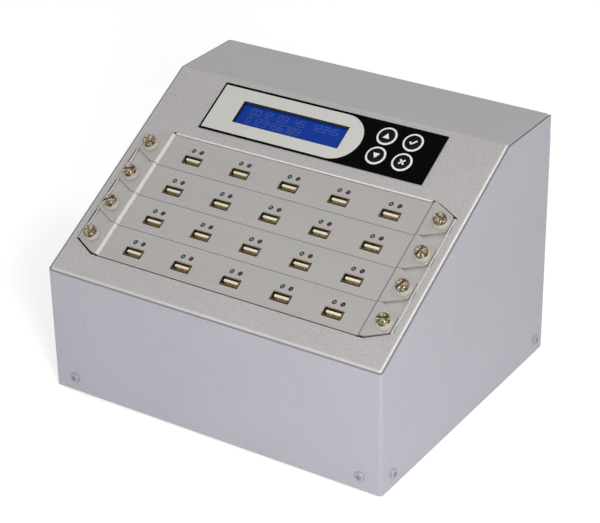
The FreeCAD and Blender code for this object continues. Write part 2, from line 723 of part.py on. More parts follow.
bay_low = S.bay_bottom
bay_outline = [
    (f"-{bay_shoulder}", bay_low),
    (bay_shoulder, bay_low),
    (bay_tip, f"{bay_low} + {bay_tip_rise}"),
    (bay_tip, f"{bay_top} - {bay_tip_rise}"),
    (bay_shoulder, bay_top),
    (f"-{bay_shoulder}", bay_top),
    (f"-{bay_tip}", f"{bay_top} - {bay_tip_rise}"),
    (f"-{bay_tip}", f"{bay_low} + {bay_tip_rise}"),
]
bay_opening = padded("bay_opening", "XY_Plane", bay_outline, punch)
step_middle = f"(({step_inner} + {step_outer}) / 2)"
relief_holes = []
for side in (-1, 1):
    for number, s in enumerate((bay_low, bay_top)):
        relief_holes.append(rod(f"relief_{side + 2}_{number}",
                                (f"{side} * {step_middle}", s, f"-{punch} / 2"),
                                S.relief_radius, punch))
cover_window = window_block("cover_window", S.window_margin)
cover_cuts = on_slope(group("cover_cuts", [bay_opening, cover_window]
                            + key_holes("cover_hole") + relief_holes))

lip_screw_z = f"({bottom_z} + {S.rear_panel_height} - {S.lip_screw_drop})"
lip_holes = []
for side in (-1, 1):
    lip_holes.append(rod(f"lip_hole_{side + 2}",
                         (f"{side} * {front_screw_x}", f"{rear_y} - {punch}", lip_screw_z),
                         S.screw_hole, punch, "+y"))
cover_sheet = cut("cover_sheet", cover_outer, [cover_hollow, cover_cuts] + lip_holes)

lcd_post_x = f"({S.lcd_board_width} / 2 - {S.post_radius} - {S.post_edge})"
lcd_post_s = f"({S.lcd_board_height} / 2 - {S.post_radius} - {S.post_edge})"
key_post_x = f"({S.key_board_width} / 2 - {S.key_post_radius} - {S.post_edge})"
key_post_s = f"({S.key_board_height} / 2 - {S.key_post_radius} - {S.post_edge})"
studs = []
stud_head = f"({cover_under} + {S.sheet} / 2)"
for across in (-1, 1):
    for up in (-1, 1):
        studs.append(rod(f"lcd_stud_{across + 2}_{up + 2}",
                         (f"{S.window_x} + {across} * {lcd_post_x}",
                          f"{S.window_s} + {up} * {lcd_post_s}", lcd_board_top),
                         S.post_radius, f"{stud_head} - {lcd_board_top}"))
        studs.append(rod(f"key_stud_{across + 2}_{up + 2}",
                         (f"{S.key_x} + {across} * {key_post_x}",
                          f"{S.key_s} + {up} * {key_post_s}", key_board_top),
                         S.key_post_radius, f"{stud_head} - {key_board_top}"))
weld_studs = on_slope(group("weld_studs", studs))
keep(join("top_cover", [cover_sheet, weld_studs]), "top_cover")

# Base tray: the floor with upturned flanges, air slots and board posts.

tray_front_y = cover_front_y
tray_back_y = cover_back_y
tray_outline = [
    (f"-{cover_half}", tray_front_y),
    (cover_half, tray_front_y),
    (cover_half, tray_back_y),
    (f"-{cover_half}", tray_back_y),
]


def any_upright(edge):
    return is_along(edge, Vector(0, 0, 1))


tray_solid = padded("tray_solid", "XY_Plane", tray_outline, f"2 * ({bottom_z} + {S.tray_flange})",
                    [(S.cover_bend, any_upright)])
tray_span = f"({cover_half} - {S.sheet})"
below_floor = block("below_floor", (f"-{S.case_width}", f"-{S.case_depth}",
                                    f"-({bottom_z} + {S.tray_flange}) - {S.sheet}"),
                    (f"2 * {S.case_width}", f"2 * {S.case_depth}",
                     f"2 * {bottom_z} + {S.tray_flange} + {S.sheet}"))
tray_hollow = block("tray_hollow", (f"-{tray_span}", f"{tray_front_y} + {S.sheet}", floor_top_z),
                    (f"2 * {tray_span}", f"{tray_back_y} - {tray_front_y} - 2 * {S.sheet}",
                     f"2 * {S.tray_flange}"))
tray_tools = [below_floor, tray_hollow]
for side in (-1, 1):
    tray_tools.append(rod(f"tray_end_hole_{side + 2}",
                          (f"{side} * {front_screw_x}", f"{front_y} - {S.sheet}", screw_z),
                          S.screw_hole, f"{S.case_depth} + 2 * {S.sheet}", "+y"))
for number, y in enumerate(side_screw_ys):
    tray_tools.append(rod(f"tray_side_hole_{number}", (f"-{half_width} - {S.sheet}", y, screw_z),
                          S.screw_hole, f"{S.case_width} + 2 * {S.sheet}", "+x"))
for bank in (-1, 1):
    for number in range(FLOOR_SLOTS):
        offset = f"({bank} * {S.slot_bank} + {number - FLOOR_SLOTS // 2} * {S.slot_pitch})"
        tray_tools.append(centred(f"floor_slot_{bank + 2}_{number}", (offset, "0"),
                                  f"{bottom_z} - {S.sheet}",
                                  (S.slot_width, S.slot_length, f"3 * {S.sheet}")))
tray_sheet = cut("tray_sheet", tray_solid, tray_tools)

supply_y = f"({rear_y} - {S.supply_back} - {S.supply_depth} / 2)"
supply_front_y = f"({supply_y} - {S.supply_depth} / 2)"
controller_y = f"(({front_y} + {supply_front_y}) / 2 - {S.controller_shift})"
post_inset = f"({S.post_radius} + {S.post_edge})"
BOARDS = {
    "controller": (S.controller_x, controller_y, S.controller_width, S.controller_depth),
    "supply": (S.supply_x, supply_y, S.supply_width, S.supply_depth),
}
floor_posts = []
for name, (x, y, width, depth) in BOARDS.items():
    for across in (-1, 1):
        for along in (-1, 1):
            floor_posts.append(rod(f"{name}_post_{across + 2}_{along + 2}",
                                   (f"{x} + {across} * ({width} / 2 - {post_inset})",
                                    f"{y} + {along} * ({depth} / 2 - {post_inset})",
                                    f"{floor_top_z} - {S.sheet} / 2"),
                                   S.post_radius, f"{S.standoff_height} + {S.sheet} / 2"))
keep(join("base_tray", [tray_sheet] + floor_posts), "base_tray")

# Rubber feet under the tray.

feet = []
foot_x = f"({half_width} - {S.foot_inset})"
foot_ys = [f"({front_y} + {S.foot_inset})", f"({rear_y} - {S.foot_inset})"]
for side in (-1, 1):
    for number, y in enumerate(foot_ys):
        feet.append(taper(f"foot_{side + 2}_{number}", (f"{side} * {foot_x}", y, "0"),
                          f"{S.foot_radius} - {S.foot_taper}", S.foot_radius, S.foot_height))
keep(group("rubber_feet", feet), "rubber_feet")

# Rear panel: a flat sheet over the tray and the cover's lip.

panel_half = f"({half_width} - {S.panel_inset})"
panel_outline = [
    (f"-{panel_half}", f"{bottom_z} + {S.panel_lift}"),
    (panel_half, f"{bottom_z} + {S.panel_lift}"),
    (panel_half, f"{bottom_z} + {S.rear_panel_height}"),
    (f"-{panel_half}", f"{bottom_z} + {S.rear_panel_height}"),
]
panel_blank = padded("panel_blank", "XZ_Plane", panel_outline, S.sheet)
panel_sheet = shift(group("panel_sheet", [panel_blank]), "0", f"{rear_y} - {S.sheet} / 2", "0")
fan_z = f"({bottom_z} + {S.fan_height})"
inlet_z = f"({bottom_z} + {S.inlet_height})"
switch_z = f"({bottom_z} + {S.switch_height})"
through_y = f"({rear_y} - 3 * {S.sheet})"
through = f"(6 * {S.sheet})"
corner_holes = [(across, up) for across in (-1, 1) for up in (-1, 1)]
fan_corner = f"({S.fan_hole_pitch} / 2)"
rocker_sin = f"sin({S.rocker_tilt} * 1 deg)"
rocker_cos = f"cos({S.rocker_tilt} * 1 deg)"
rocker_tip = f"({S.rocker_rise} + {S.rocker_half} * {rocker_sin} / {rocker_cos})"
rocker_sweep = f"({S.rocker_half} * {rocker_cos} + {rocker_tip} * {rocker_sin})"
switch_well = f"({rocker_sweep} + {S.rocker_gap})"
switch_body_half = f"({switch_well} + {S.switch_wall})"
switch_side = f"({S.rocker_width} / 2 + {S.rocker_gap} + {S.switch_wall})"
panel_tools = [
    rod("panel_vent_middle", (fan_x, through_y, fan_z), S.vent_radius, through, "+y"),
    block("panel_inlet_hole", (f"{inlet_x} - {S.inlet_width} / 2 - {S.seam_gap}", through_y,
                               f"{inlet_z} - {S.inlet_body_height} / 2 - {S.seam_gap}"),
          (f"{S.inlet_width} + 2 * {S.seam_gap}", through,
           f"{S.inlet_body_height} + 2 * {S.seam_gap}")),
    block("panel_switch_hole", (f"{inlet_x} - {switch_side} - {S.seam_gap}", through_y,
                                f"{switch_z} - {switch_body_half} - {S.seam_gap}"),
          (f"2 * ({switch_side} + {S.seam_gap})", through,
           f"2 * ({switch_body_half} + {S.seam_gap})")),
]
vent_step = f"(({S.fan_bore} - 2 * {S.vent_radius}) / {VENT_RINGS})"
for ring_number in range(1, VENT_RINGS + 1):
    for number in range(6 * ring_number):
        angle = f"({number} * 60 / {ring_number} * 1 deg)"
        reach = f"({ring_number} * {vent_step})"
        panel_tools.append(rod(f"panel_vent_{ring_number}_{number}",
                               (f"{fan_x} + {reach} * cos({angle})", through_y,
                                f"{fan_z} + {reach} * sin({angle})"),
                               S.vent_radius, through, "+y"))
for across, up in corner_holes:
    panel_tools.append(rod(f"panel_fan_screw_{across + 2}_{up + 2}",
                           (f"{fan_x} + {across} * {fan_corner}", through_y,
                            f"{fan_z} + {up} * {fan_corner}"), S.screw_hole, through, "+y"))
for side in (-1, 1):
    for number, z in enumerate((screw_z, lip_screw_z)):
        panel_tools.append(rod(f"panel_hole_{side + 2}_{number}",
                               (f"{side} * {front_screw_x}", through_y, z),
                               S.screw_hole, through, "+y"))
    panel_tools.append(rod(f"panel_inlet_screw_{side + 2}",
                           (f"{inlet_x} + {side} * {S.inlet_screw_pitch} / 2", through_y, inlet_z),
                           S.screw_hole, through, "+y"))
keep(cut("rear_panel", panel_sheet, panel_tools), "rear_panel")

# Case screws, all alike: front, sides, rear, fan and power inlet.

screws = []
for side in (-1, 1):
    screws.append(screw(f"front_screw_{side + 2}", f"{side} * {front_screw_x}", front_y,
                        screw_z, "+y"))
    for number, z in enumerate((screw_z, lip_screw_z)):
        screws.append(screw(f"rear_screw_{side + 2}_{number}", f"{side} * {front_screw_x}",
                            rear_y, z, "-y"))
    for number, y in enumerate(side_screw_ys):
        screws.append(screw(f"side_screw_{side + 2}_{number}", f"{side} * {half_width}", y,
                            screw_z, "-x" if side > 0 else "+x"))
    screws.append(screw(f"inlet_screw_{side + 2}",
                        f"{inlet_x} + {side} * {S.inlet_screw_pitch} / 2",
                        f"{rear_y} + {S.inlet_flange_depth}", inlet_z, "-y"))
for across, up in corner_holes:
    screws.append(screw(f"fan_screw_{across + 2}_{up + 2}",
                        f"{fan_x} + {across} * {fan_corner}", rear_y,
                        f"{fan_z} + {up} * {fan_corner}", "-y"))
keep(group("case_screws", screws), "case_screws")

# Seat rails: two bent channels under the cover. The modules' ears rest on them,
# the thumbscrews thread into them, and the hub board lies on their feet.

rail_low = f"({S.bay_bottom} - {S.rail_margin})"
rail_length = f"({bay_top} - {S.bay_bottom} + 2 * {S.rail_margin})"
rail_bottom = f"(-{S.sheet} - {S.rail_thickness})"
lip_low = f"({S.bay_bottom} + {bay_tip_rise} + {S.rail_lip_inset})"
lip_span = f"({bay_top} - {S.bay_bottom} - 2 * ({bay_tip_rise} + {S.rail_lip_inset}))"
foot_level = f"(-{S.hub_drop})"


def span(side, near, far):
    """Low x of a stretch from near to far on one side of the middle."""
    return near if side > 0 else f"-({far})"


rails = []
for side in (-1, 1):
    seat = block(f"seat_{side + 2}", (span(side, rail_inner, rail_lip_outer), rail_low,
                                      rail_bottom),
                 (f"{rail_lip_outer} - {rail_inner}", rail_length, S.rail_thickness))
    lip = block(f"lip_{side + 2}",
                (span(side, f"{rail_lip_outer} - {S.rail_lip}", rail_lip_outer), lip_low,
                 rail_bottom),
                (S.rail_lip, lip_span, f"{S.rail_lip_level} - {rail_bottom}"))
    web = block(f"web_{side + 2}", (span(side, rail_inner, f"{rail_inner} + {S.rail_thickness}"),
                                    rail_low, f"{foot_level} - {S.rail_thickness}"),
                (S.rail_thickness, rail_length,
                 f"-{S.sheet} - {foot_level} + {S.rail_thickness}"))
    foot = block(f"foot_{side + 2}_rail",
                 (span(side, f"{rail_inner} - {S.rail_foot}", f"{rail_inner} + {S.rail_thickness}"),
                  rail_low, f"{foot_level} - {S.rail_thickness}"),
                 (f"{S.rail_foot} + {S.rail_thickness}", rail_length, S.rail_thickness))
    parts = [seat, lip, web, foot]
    holes = []
    for index in range(MODULES):
        centre = module_centre(index)
        nut_place = (f"{side} * {screw_offset}", centre, f"{rail_bottom} - {S.nut_height}")
        parts.append(rod(f"nut_{side + 2}_{index}", nut_place, S.nut_radius,
                         f"{S.nut_height} + {S.rail_thickness} / 2"))
        holes.append(rod(f"thread_{side + 2}_{index}",
                         (f"{side} * {screw_offset}", centre, f"-{S.hub_drop}"),
                         f"{S.thumb_shaft} + {S.thumb_play}", f"2 * {S.hub_drop}"))
    rails.append(cut(f"rail_{side + 2}", join(f"rail_solid_{side + 2}", parts), holes))
keep(on_slope(group("seat_rails", rails)), "seat_rails")

# Port modules.

step_run = f"({step_outer} - {step_inner})"
step_rise = f"({ear_level} - {S.port_level})"
step_turn = f"({S.plate_thickness} * tan(atan2({step_rise}; {step_run}) / 2))"
plate_profile = [
    (f"-{ear_tip}", ear_bottom),
    (f"-{step_outer} - {step_turn}", ear_bottom),
    (f"-{step_inner} - {step_turn}", plate_bottom),
    (f"{step_inner} + {step_turn}", plate_bottom),
    (f"{step_outer} + {step_turn}", ear_bottom),
    (ear_tip, ear_bottom),
    (ear_tip, ear_level),
    (step_outer, ear_level),
    (step_inner, S.port_level),
    (f"-{step_inner}", S.port_level),
    (f"-{step_outer}", ear_level),
    (f"-{ear_tip}", ear_level),
]
ear_half = f"({module_height} / 2)"
ear_tip_half = f"({ear_half} - {S.ear_slant} * ({ear_tip} - {ear_shoulder}))"
plate_outline = [
    (f"-{ear_shoulder}", f"-{ear_half}"),
    (ear_shoulder, f"-{ear_half}"),
    (ear_tip, f"-{ear_tip_half}"),
    (ear_tip, ear_tip_half),
    (ear_shoulder, ear_half),
    (f"-{ear_shoulder}", ear_half),
    (f"-{ear_tip}", ear_tip_half),
    (f"-{ear_tip}", f"-{ear_tip_half}"),
]
port_s = f"(-{S.port_drop})"
led_s = f"({port_s} + {S.led_rise})"
mouth_width = f"({S.shell_width} + 2 * {S.mouth_flare})"
mouth_height = f"({S.shell_height} + 2 * {S.mouth_flare})"
end_post_x = f"({port_board_half} - {S.post_radius} - {S.post_edge})"
port_post_xs = [f"(-{end_post_x})", f"(-1.5 * {port_pitch})",
                f"(1.5 * {port_pitch})", end_post_x]


def port_x(number):
    return f"({number - PORTS // 2} * {port_pitch})"


def port_plate(tag):
    blank = overlap(f"plate_blank_{tag}",
                    padded(f"plate_strip_{tag}", "XZ_Plane", plate_profile, module_height),
                    padded(f"plate_shape_{tag}", "XY_Plane", plate_outline, plate_punch, [
                        (S.ear_tip_round, upright_at(ear_tip)),
                        (S.ear_shoulder_round, upright_at(ear_shoulder)),
                    ]))
    tools = []
    for number in range(PORTS):
        x = port_x(number)
        tools.append(centred(f"plate_port_{tag}_{number}", (x, port_s), f"-{plate_punch} / 2",
                             (f"{mouth_width} + 2 * {S.port_cut_gap}",
                              f"{mouth_height} + 2 * {S.port_cut_gap}", plate_punch)))
        for side in (-1, 1):
            tools.append(rod(f"plate_led_{tag}_{number}_{side + 2}",
                             (f"{x} + {side} * {S.led_spacing} / 2", led_s,
                              f"-{plate_punch} / 2"), S.led_hole, plate_punch))
    for side in (-1, 1):
        tools.append(rod(f"plate_screw_{tag}_{side + 2}",
                         (f"{side} * {screw_offset}", "0", f"-{plate_punch} / 2"),
                         f"{S.collar_spigot} + {S.thumb_play}", plate_punch))
    sheet_part = cut(f"plate_sheet_{tag}", blank, tools)
    posts = [sheet_part]
    for number, x in enumerate(port_post_xs):
        posts.append(rod(f"plate_post_{tag}_{number}", (x, "0", port_board_top), S.post_radius,
                         f"{plate_bottom} - {port_board_top} + {S.plate_thickness} / 2"))
    return join(f"port_plate_{tag}", posts)


def port_board(tag):
    board_low = f"({port_board_top} - {S.board_thickness})"
    board = centred(f"board_sheet_{tag}", ("0", "0"), board_low,
                    (f"2 * {port_board_half}", S.port_board_width, S.board_thickness))
    plug = centred(f"board_plug_{tag}", ("0", "0"), f"{board_low} - {S.plug_height}",
                   (S.plug_length, S.plug_width, S.plug_height))
    parts = [board, plug]
    for side in (-1, 1):
        parts.append(centred(f"board_chip_{tag}_{side + 2}",
                             (f"{side} * {S.chip_x}", "0"), f"{board_low} - {S.chip_height}",
                             (S.chip_side, S.chip_side, S.chip_height)))
    return join(f"port_board_{tag}", parts)


def usb_sockets(tag):
    items = []
    shell_low = port_board_top
    for number in range(PORTS):
        name = f"{tag}_{number}"
        place = (port_x(number), port_s)
        body = centred(f"shell_body_{name}", place, shell_low,
                       (S.shell_width, S.shell_height, S.shell_length))
        lips = centred(f"shell_lips_{name}", place, f"{mouth_level} - {S.mouth_depth}",
                       (mouth_width, mouth_height, S.mouth_depth))
        inside = centred(f"shell_inside_{name}", place, f"{shell_low} - 1",
                         (f"{S.shell_width} - 2 * {S.shell_wall}",
                          f"{S.shell_height} - 2 * {S.shell_wall}", f"{S.shell_length} + 2"))
        items.append(cut(f"shell_{name}", join(f"shell_solid_{name}", [body, lips]), [inside]))
        base_width = f"({S.shell_width} - 2 * ({S.shell_wall} + {S.head_gap}))"
        base_height = f"({S.shell_height} - 2 * ({S.shell_wall} + {S.head_gap}))"
        base = centred(f"socket_base_{name}", place, shell_low,
                       (base_width, base_height, S.socket_base))
        tongue = centred(f"socket_tongue_{name}", (place[0], f"{port_s} + {S.tongue_rise}"),
                         shell_low, (S.tongue_width, S.tongue_thickness,
                                     f"{S.shell_length} - {S.tongue_recess}"))
        items.append(join(f"insulator_{name}", [base, tongue]))
    return group(f"usb_sockets_{tag}", items)


def lamps(colour, side, tag):
    """One colour of indicator lamps: domed bodies with two legs each."""
    items = []
    dome_centre = f"({S.port_level} + {S.head_gap} - {S.led_radius})"
    body_low = f"({dome_centre} - {S.led_body})"
    for number in range(PORTS):
        name = f"{colour}_{tag}_{number}"
        x = f"({port_x(number)} + {side} * {S.led_spacing} / 2)"
        parts = [
            rod(f"lamp_body_{name}", (x, led_s, body_low), S.led_radius, S.led_body),
            ball(f"lamp_dome_{name}", (x, led_s, dome_centre), S.led_radius),
            rod(f"lamp_flange_{name}", (x, led_s, body_low), S.led_flange, S.led_flange_height),
        ]
        for leg in (-1, 1):
            parts.append(centred(f"lamp_leg_{name}_{leg + 2}",
                                 (f"{x} + {leg} * {S.led_leg_spacing} / 2", led_s), port_board_top,
                                 (f"2 * {S.led_leg}", f"2 * {S.led_leg}",
                                  f"{body_low} - {port_board_top} + {S.led_leg}")))
        items.append(join(f"lamp_{name}", parts))
    return group(f"{colour}_leds_{tag}", items)


def collars(tag):
    items = []
    for side in (-1, 1):
        name = f"{tag}_{side + 2}"
        x = f"({side} * {screw_offset})"
        parts = [
            taper(f"collar_ring_{name}", (x, "0", ear_level), S.collar_base, S.collar_top,
                  S.collar_height),
            rod(f"collar_spigot_{name}", (x, "0", ear_bottom), S.collar_spigot,
                f"{S.plate_thickness} + {S.collar_height} / 2"),
        ]
        bore = rod(f"collar_bore_{name}", (x, "0", f"-{S.thumb_reach}"),
                   f"{S.thumb_shaft} + {S.thumb_play}", f"2 * {S.thumb_reach} + {S.collar_height}")
        items.append(cut(f"collar_{name}", join(f"collar_solid_{name}", parts), [bore]))
    return group(f"screw_collars_{tag}", items)


def thumbscrew(name, slot_angle):
    """A knob with a driver slot, drawn on its own axis in slope heights."""
    head_low = f"({ear_level} + {S.collar_height} + {S.head_gap})"
    head_top = f"({head_low} + {S.thumb_head_height})"
    parts = [
        rod(name + "_shaft", ("0", "0", f"-{S.thumb_reach}"), S.thumb_shaft,
            f"{head_low} + {S.thumb_reach} + {S.thumb_chamfer}"),
        rod(name + "_knob", ("0", "0", head_low), S.thumb_head_radius,
            f"{S.thumb_head_height} - {S.thumb_chamfer}"),
        taper(name + "_bevel", ("0", "0", f"{head_top} - {S.thumb_chamfer}"),
              S.thumb_head_radius, f"{S.thumb_head_radius} - {S.thumb_chamfer}", S.thumb_chamfer),
    ]
    slot = centred(name + "_slot_box", ("0", "0"), f"{head_top} - {S.thumb_slot_depth}",
                   (f"3 * {S.thumb_head_radius}", S.thumb_slot_width,
                    f"{S.thumb_slot_depth} + 1"))
    turned_slot = group(name + "_slot", [slot])
    turned_slot.Placement = FreeCAD.Placement(Vector(), Rotation(Vector(0, 0, 1), slot_angle))
    return cut(name, join(name + "_solid", parts), [turned_slot])


SLOT_ANGLES = {"left": (-35, 45, 20, -60), "right": (15, 70, 80, -20)}

for index in range(MODULES):
    tag = index + 1
    centre = module_centre(index)
    for maker in (port_plate, port_board, usb_sockets, collars):
        piece = maker(tag)
        keep(on_slope(piece, s=centre), piece.Name)
    for colour, side in (("green", -1), ("red", 1)):
        keep(on_slope(lamps(colour, side, tag), s=centre), f"{colour}_leds_{tag}")
    for name, side in (("left", -1), ("right", 1)):
        knob = thumbscrew(f"thumbscrew_{name}_{tag}", SLOT_ANGLES[name][index])
        keep(on_slope(knob, x=f"{side} * {screw_offset}", s=centre), knob.Name)

# Hub board on the rails' feet, with a socket for each module's plug.

hub_s = f"(({S.bay_bottom} + {bay_top}) / 2)"
hub_length = f"({bay_top} - {S.bay_bottom})"
plug_low = f"({port_board_top} - {S.board_thickness} - {S.plug_height})"
hub_board_sheet = centred("hub_sheet", ("0", hub_s), foot_level,
                          (f"2 * {hub_half}", hub_length, S.board_thickness))
hub_parts = [hub_board_sheet]
hub_cavities = []
for index in range(MODULES):
    centre = module_centre(index)
    cavity_length = f"({S.plug_length} + 2 * {S.socket_gap})"
    cavity_width = f"({S.plug_width} + 2 * {S.socket_gap})"
    hub_parts.append(centred(f"hub_socket_{index}", ("0", centre), hub_top,
                             (f"{cavity_length} + 2 * {S.socket_wall}",
                              f"{cavity_width} + 2 * {S.socket_wall}", S.socket_height)))
    hub_cavities.append(centred(f"hub_cavity_{index}", ("0", centre),
                                f"{plug_low} - {S.socket_gap}",
                                (cavity_length, cavity_width, f"4 * {S.socket_height}")))
header_width = f"({S.ribbon_width} + 2 * {S.ribbon_margin})"
header_s = f"({hub_s} - {S.module_pitch})"
hub_parts.append(centred("hub_header", ("0", header_s), f"{foot_level} - {S.header_height}",
                         (header_width, S.header_depth, S.header_height)))
for side in (-1, 1):
    hub_parts.append(centred(f"hub_chip_{side + 2}", (f"{side} * {S.chip_x}", hub_s),
                             hub_top, (S.chip_side, S.chip_side, S.chip_height)))
keep(on_slope(cut("hub_board", join("hub_solid", hub_parts), hub_cavities)), "hub_board")

# Controls: label, four keys over their contact switches, and the display.

overlay_s = f"({S.overlay_bottom} + {S.overlay_height} / 2)"
overlay_half = f"({S.overlay_width} / 2)"
overlay_top = f"({S.overlay_bottom} + {S.overlay_height})"
overlay_sheet = padded("overlay_sheet", "XY_Plane", [
    (f"-{overlay_half}", S.overlay_bottom),
    (overlay_half, S.overlay_bottom),
    (overlay_half, overlay_top),
    (f"-{overlay_half}", overlay_top),
], f"2 * {S.overlay_thickness}", [(S.overlay_corner, any_upright)])
below_overlay = block("below_overlay", (f"-{S.case_width}", "0", f"-{S.cover_flange}"),
                      (f"2 * {S.case_width}", f"2 * {S.back_height}", S.cover_flange))
overlay = cut("control_overlay", overlay_sheet,
              [below_overlay, window_block("overlay_window", "0")] + key_holes("overlay_hole"))
keep(on_slope(overlay), "control_overlay")

key_lift = f"({S.key_level} - {key_flange_top})"
for name in KEYS:
    x, s = key_place(name)
    parts = [
        rod(name + "_cap", (x, s, key_flange_top), S.key_radius, f"{key_lift} - {S.key_bevel}"),
        taper(name + "_crown", (x, s, f"{S.key_level} - {S.key_bevel}"), S.key_radius,
              f"{S.key_radius} - {S.key_bevel}", S.key_bevel),
        rod(name + "_flange", (x, s, key_flange_low),
            f"{S.key_radius} + {S.key_clearance} + {S.key_flange}", S.key_flange_height),
        rod(name + "_stem", (x, s, key_stem_end), S.key_stem,
            f"{S.key_stem_length} + {S.key_flange_height} / 2"),
    ]
    keep(on_slope(join(name, parts)), name)

keypad_parts = [centred("keypad_sheet", (S.key_x, S.key_s),
                        f"{key_board_top} - {S.board_thickness}",
                        (S.key_board_width, S.key_board_height, S.board_thickness))]
for name in KEYS:
    x, s = key_place(name)
    keypad_parts.append(centred(f"switch_body_{name}", (x, s), key_board_top,
                                (S.key_switch, S.key_switch,
                                 f"{S.key_switch_height} - {S.key_button_rise}")))
    keypad_parts.append(rod(f"switch_button_{name}", (x, s, key_board_top),
                            S.key_button, S.key_switch_height))
keep(on_slope(join("keypad_board", keypad_parts)), "keypad_board")

lcd_place = (S.window_x, S.window_s)
frame_low = lcd_board_top
frame_solid = centred("frame_solid", lcd_place, frame_low,
                      (S.lcd_frame_width, S.lcd_frame_height, S.lcd_frame_depth))
frame_inside = centred("frame_inside", lcd_place, f"{frame_low} - 1",
                       (f"{S.lcd_frame_width} - 2 * {S.lcd_frame_wall}",
                        f"{S.lcd_frame_height} - 2 * {S.lcd_frame_wall}",
                        f"{S.lcd_frame_depth} + 1 - {S.lcd_frame_wall}"))
lcd_frame = cut("lcd_frame", frame_solid,
                [frame_inside, window_block("frame_window", f"{S.window_margin} / 2")])
keep(on_slope(lcd_frame), "lcd_frame")

glass_top = f"(-{S.lcd_recess})"
frame_under = f"({cover_under} - {S.seam_gap} - {S.lcd_frame_wall})"
backlight = centred("lcd_backlight", lcd_place, frame_low,
                    (f"{S.lcd_frame_width} - 2 * ({S.lcd_frame_wall} + {S.seam_gap})",
                     f"{S.lcd_frame_height} - 2 * ({S.lcd_frame_wall} + {S.seam_gap})",
                     f"{frame_under} - {S.seam_gap} - {frame_low}"))
glass = centred("lcd_glass", lcd_place, f"{frame_low} + 1",
                (f"{S.window_width} + {S.window_margin} - 2 * {S.seam_gap}",
                 f"{S.window_height} + {S.window_margin} - 2 * {S.seam_gap}",
                 f"{glass_top} - {frame_low} - 1"))
keep(on_slope(join("lcd_screen", [backlight, glass])), "lcd_screen")

lcd_board_low = f"({lcd_board_top} - {S.board_thickness})"
display_header_s = f"({S.window_s} - {S.lcd_board_height} / 2 + {S.header_depth})"
lcd_parts = [
    centred("lcd_sheet", lcd_place, lcd_board_low,
            (S.lcd_board_width, S.lcd_board_height, S.board_thickness)),
    centred("lcd_header", (S.window_x, display_header_s), f"{lcd_board_low} - {S.header_height}",
            (header_width, S.header_depth, S.header_height)),
]
keep(on_slope(join("lcd_board", lcd_parts)), "lcd_board")

# Controller board on the tray's posts.

controller_top = f"({board_level} + {S.board_thickness})"
sink_base_z = f"({controller_top} + {S.processor_height})"
sink_x = f"({S.controller_x} + {S.sink_x})"
controller_parts = [
    centred("controller_sheet", (S.controller_x, controller_y), board_level,
            (S.controller_width, S.controller_depth, S.board_thickness)),
    centred("processor", (sink_x, controller_y), controller_top,
            (S.processor_side, S.processor_side, S.processor_height)),
    centred("sink_base", (sink_x, controller_y), sink_base_z,
            (S.sink_side, S.sink_side, S.sink_base)),
]
for number in range(SINK_FINS):
    fin_x = f"({sink_x} + {number - SINK_FINS // 2} * {S.fin_pitch})"
    controller_parts.append(centred(f"sink_fin_{number}", (fin_x, controller_y), sink_base_z,
                                    (S.fin_thickness, S.sink_side, S.sink_height)))
for number in range(CAPACITORS):
    capacitor_y = f"({controller_y} + {number - (CAPACITORS - 1) / 2} * {S.capacitor_pitch})"
    controller_parts.append(rod(f"controller_capacitor_{number}",
                                (f"{S.controller_x} - {S.capacitor_x}", capacitor_y,
                                 controller_top), S.capacitor_radius, S.capacitor_height))
display_header_y = f"({controller_y} + {S.controller_depth} / 2 - {S.header_depth})"
hub_header_y = f"({controller_y} + {S.header_depth} / 4)"
for name, x, y in (("display", S.window_x, display_header_y), ("hub", "0", hub_header_y)):
    controller_parts.append(centred(f"controller_{name}_header", (x, y), controller_top,
                                    (header_width, S.header_depth, S.header_height)))
keep(join("controller_board", controller_parts), "controller_board")

# Open-frame power supply on the tray's posts.

supply_top = f"({board_level} + {S.board_thickness})"
supply_parts = [
    centred("supply_sheet", (S.supply_x, supply_y), board_level,
            (S.supply_width, S.supply_depth, S.board_thickness)),
    centred("transformer", (S.supply_x, supply_y), supply_top,
            (S.transformer_width, S.transformer_depth, S.transformer_height)),
    centred("mains_filter", (f"{S.supply_x} + {S.supply_side_x}", f"{supply_y} + {S.supply_side_y}"),
            supply_top, (S.filter_width, S.filter_depth, S.filter_height)),
    centred("supply_terminals", (f"{S.supply_x} - {S.terminal_block_x}",
                                 f"{supply_y} - {S.supply_side_y}"), supply_top,
            (S.terminal_block_width, S.terminal_block_length, S.terminal_block_height)),
    rod("bulk_capacitor", (f"{S.supply_x} + {S.supply_side_x}", f"{supply_y} - {S.supply_side_y}",
                           supply_top), S.bulk_radius, S.bulk_height),
]
for side in (-1, 1):
    supply_parts.append(centred(f"supply_sink_{side + 2}",
                                (f"{S.supply_x} + {side} * {S.supply_sink_x}", supply_y), supply_top,
                                (S.supply_sink_thickness, S.supply_sink_length,
                                 S.supply_sink_height)))
    output_x = f"({S.supply_x} - {S.supply_side_x} + {side} * {S.output_pitch} / 2)"
    supply_parts.append(rod(f"output_capacitor_{side + 2}",
                            (output_x, f"{supply_y} + {S.supply_side_y}", supply_top),
                            S.output_radius, S.output_height))
keep(join("power_supply", supply_parts), "power_supply")


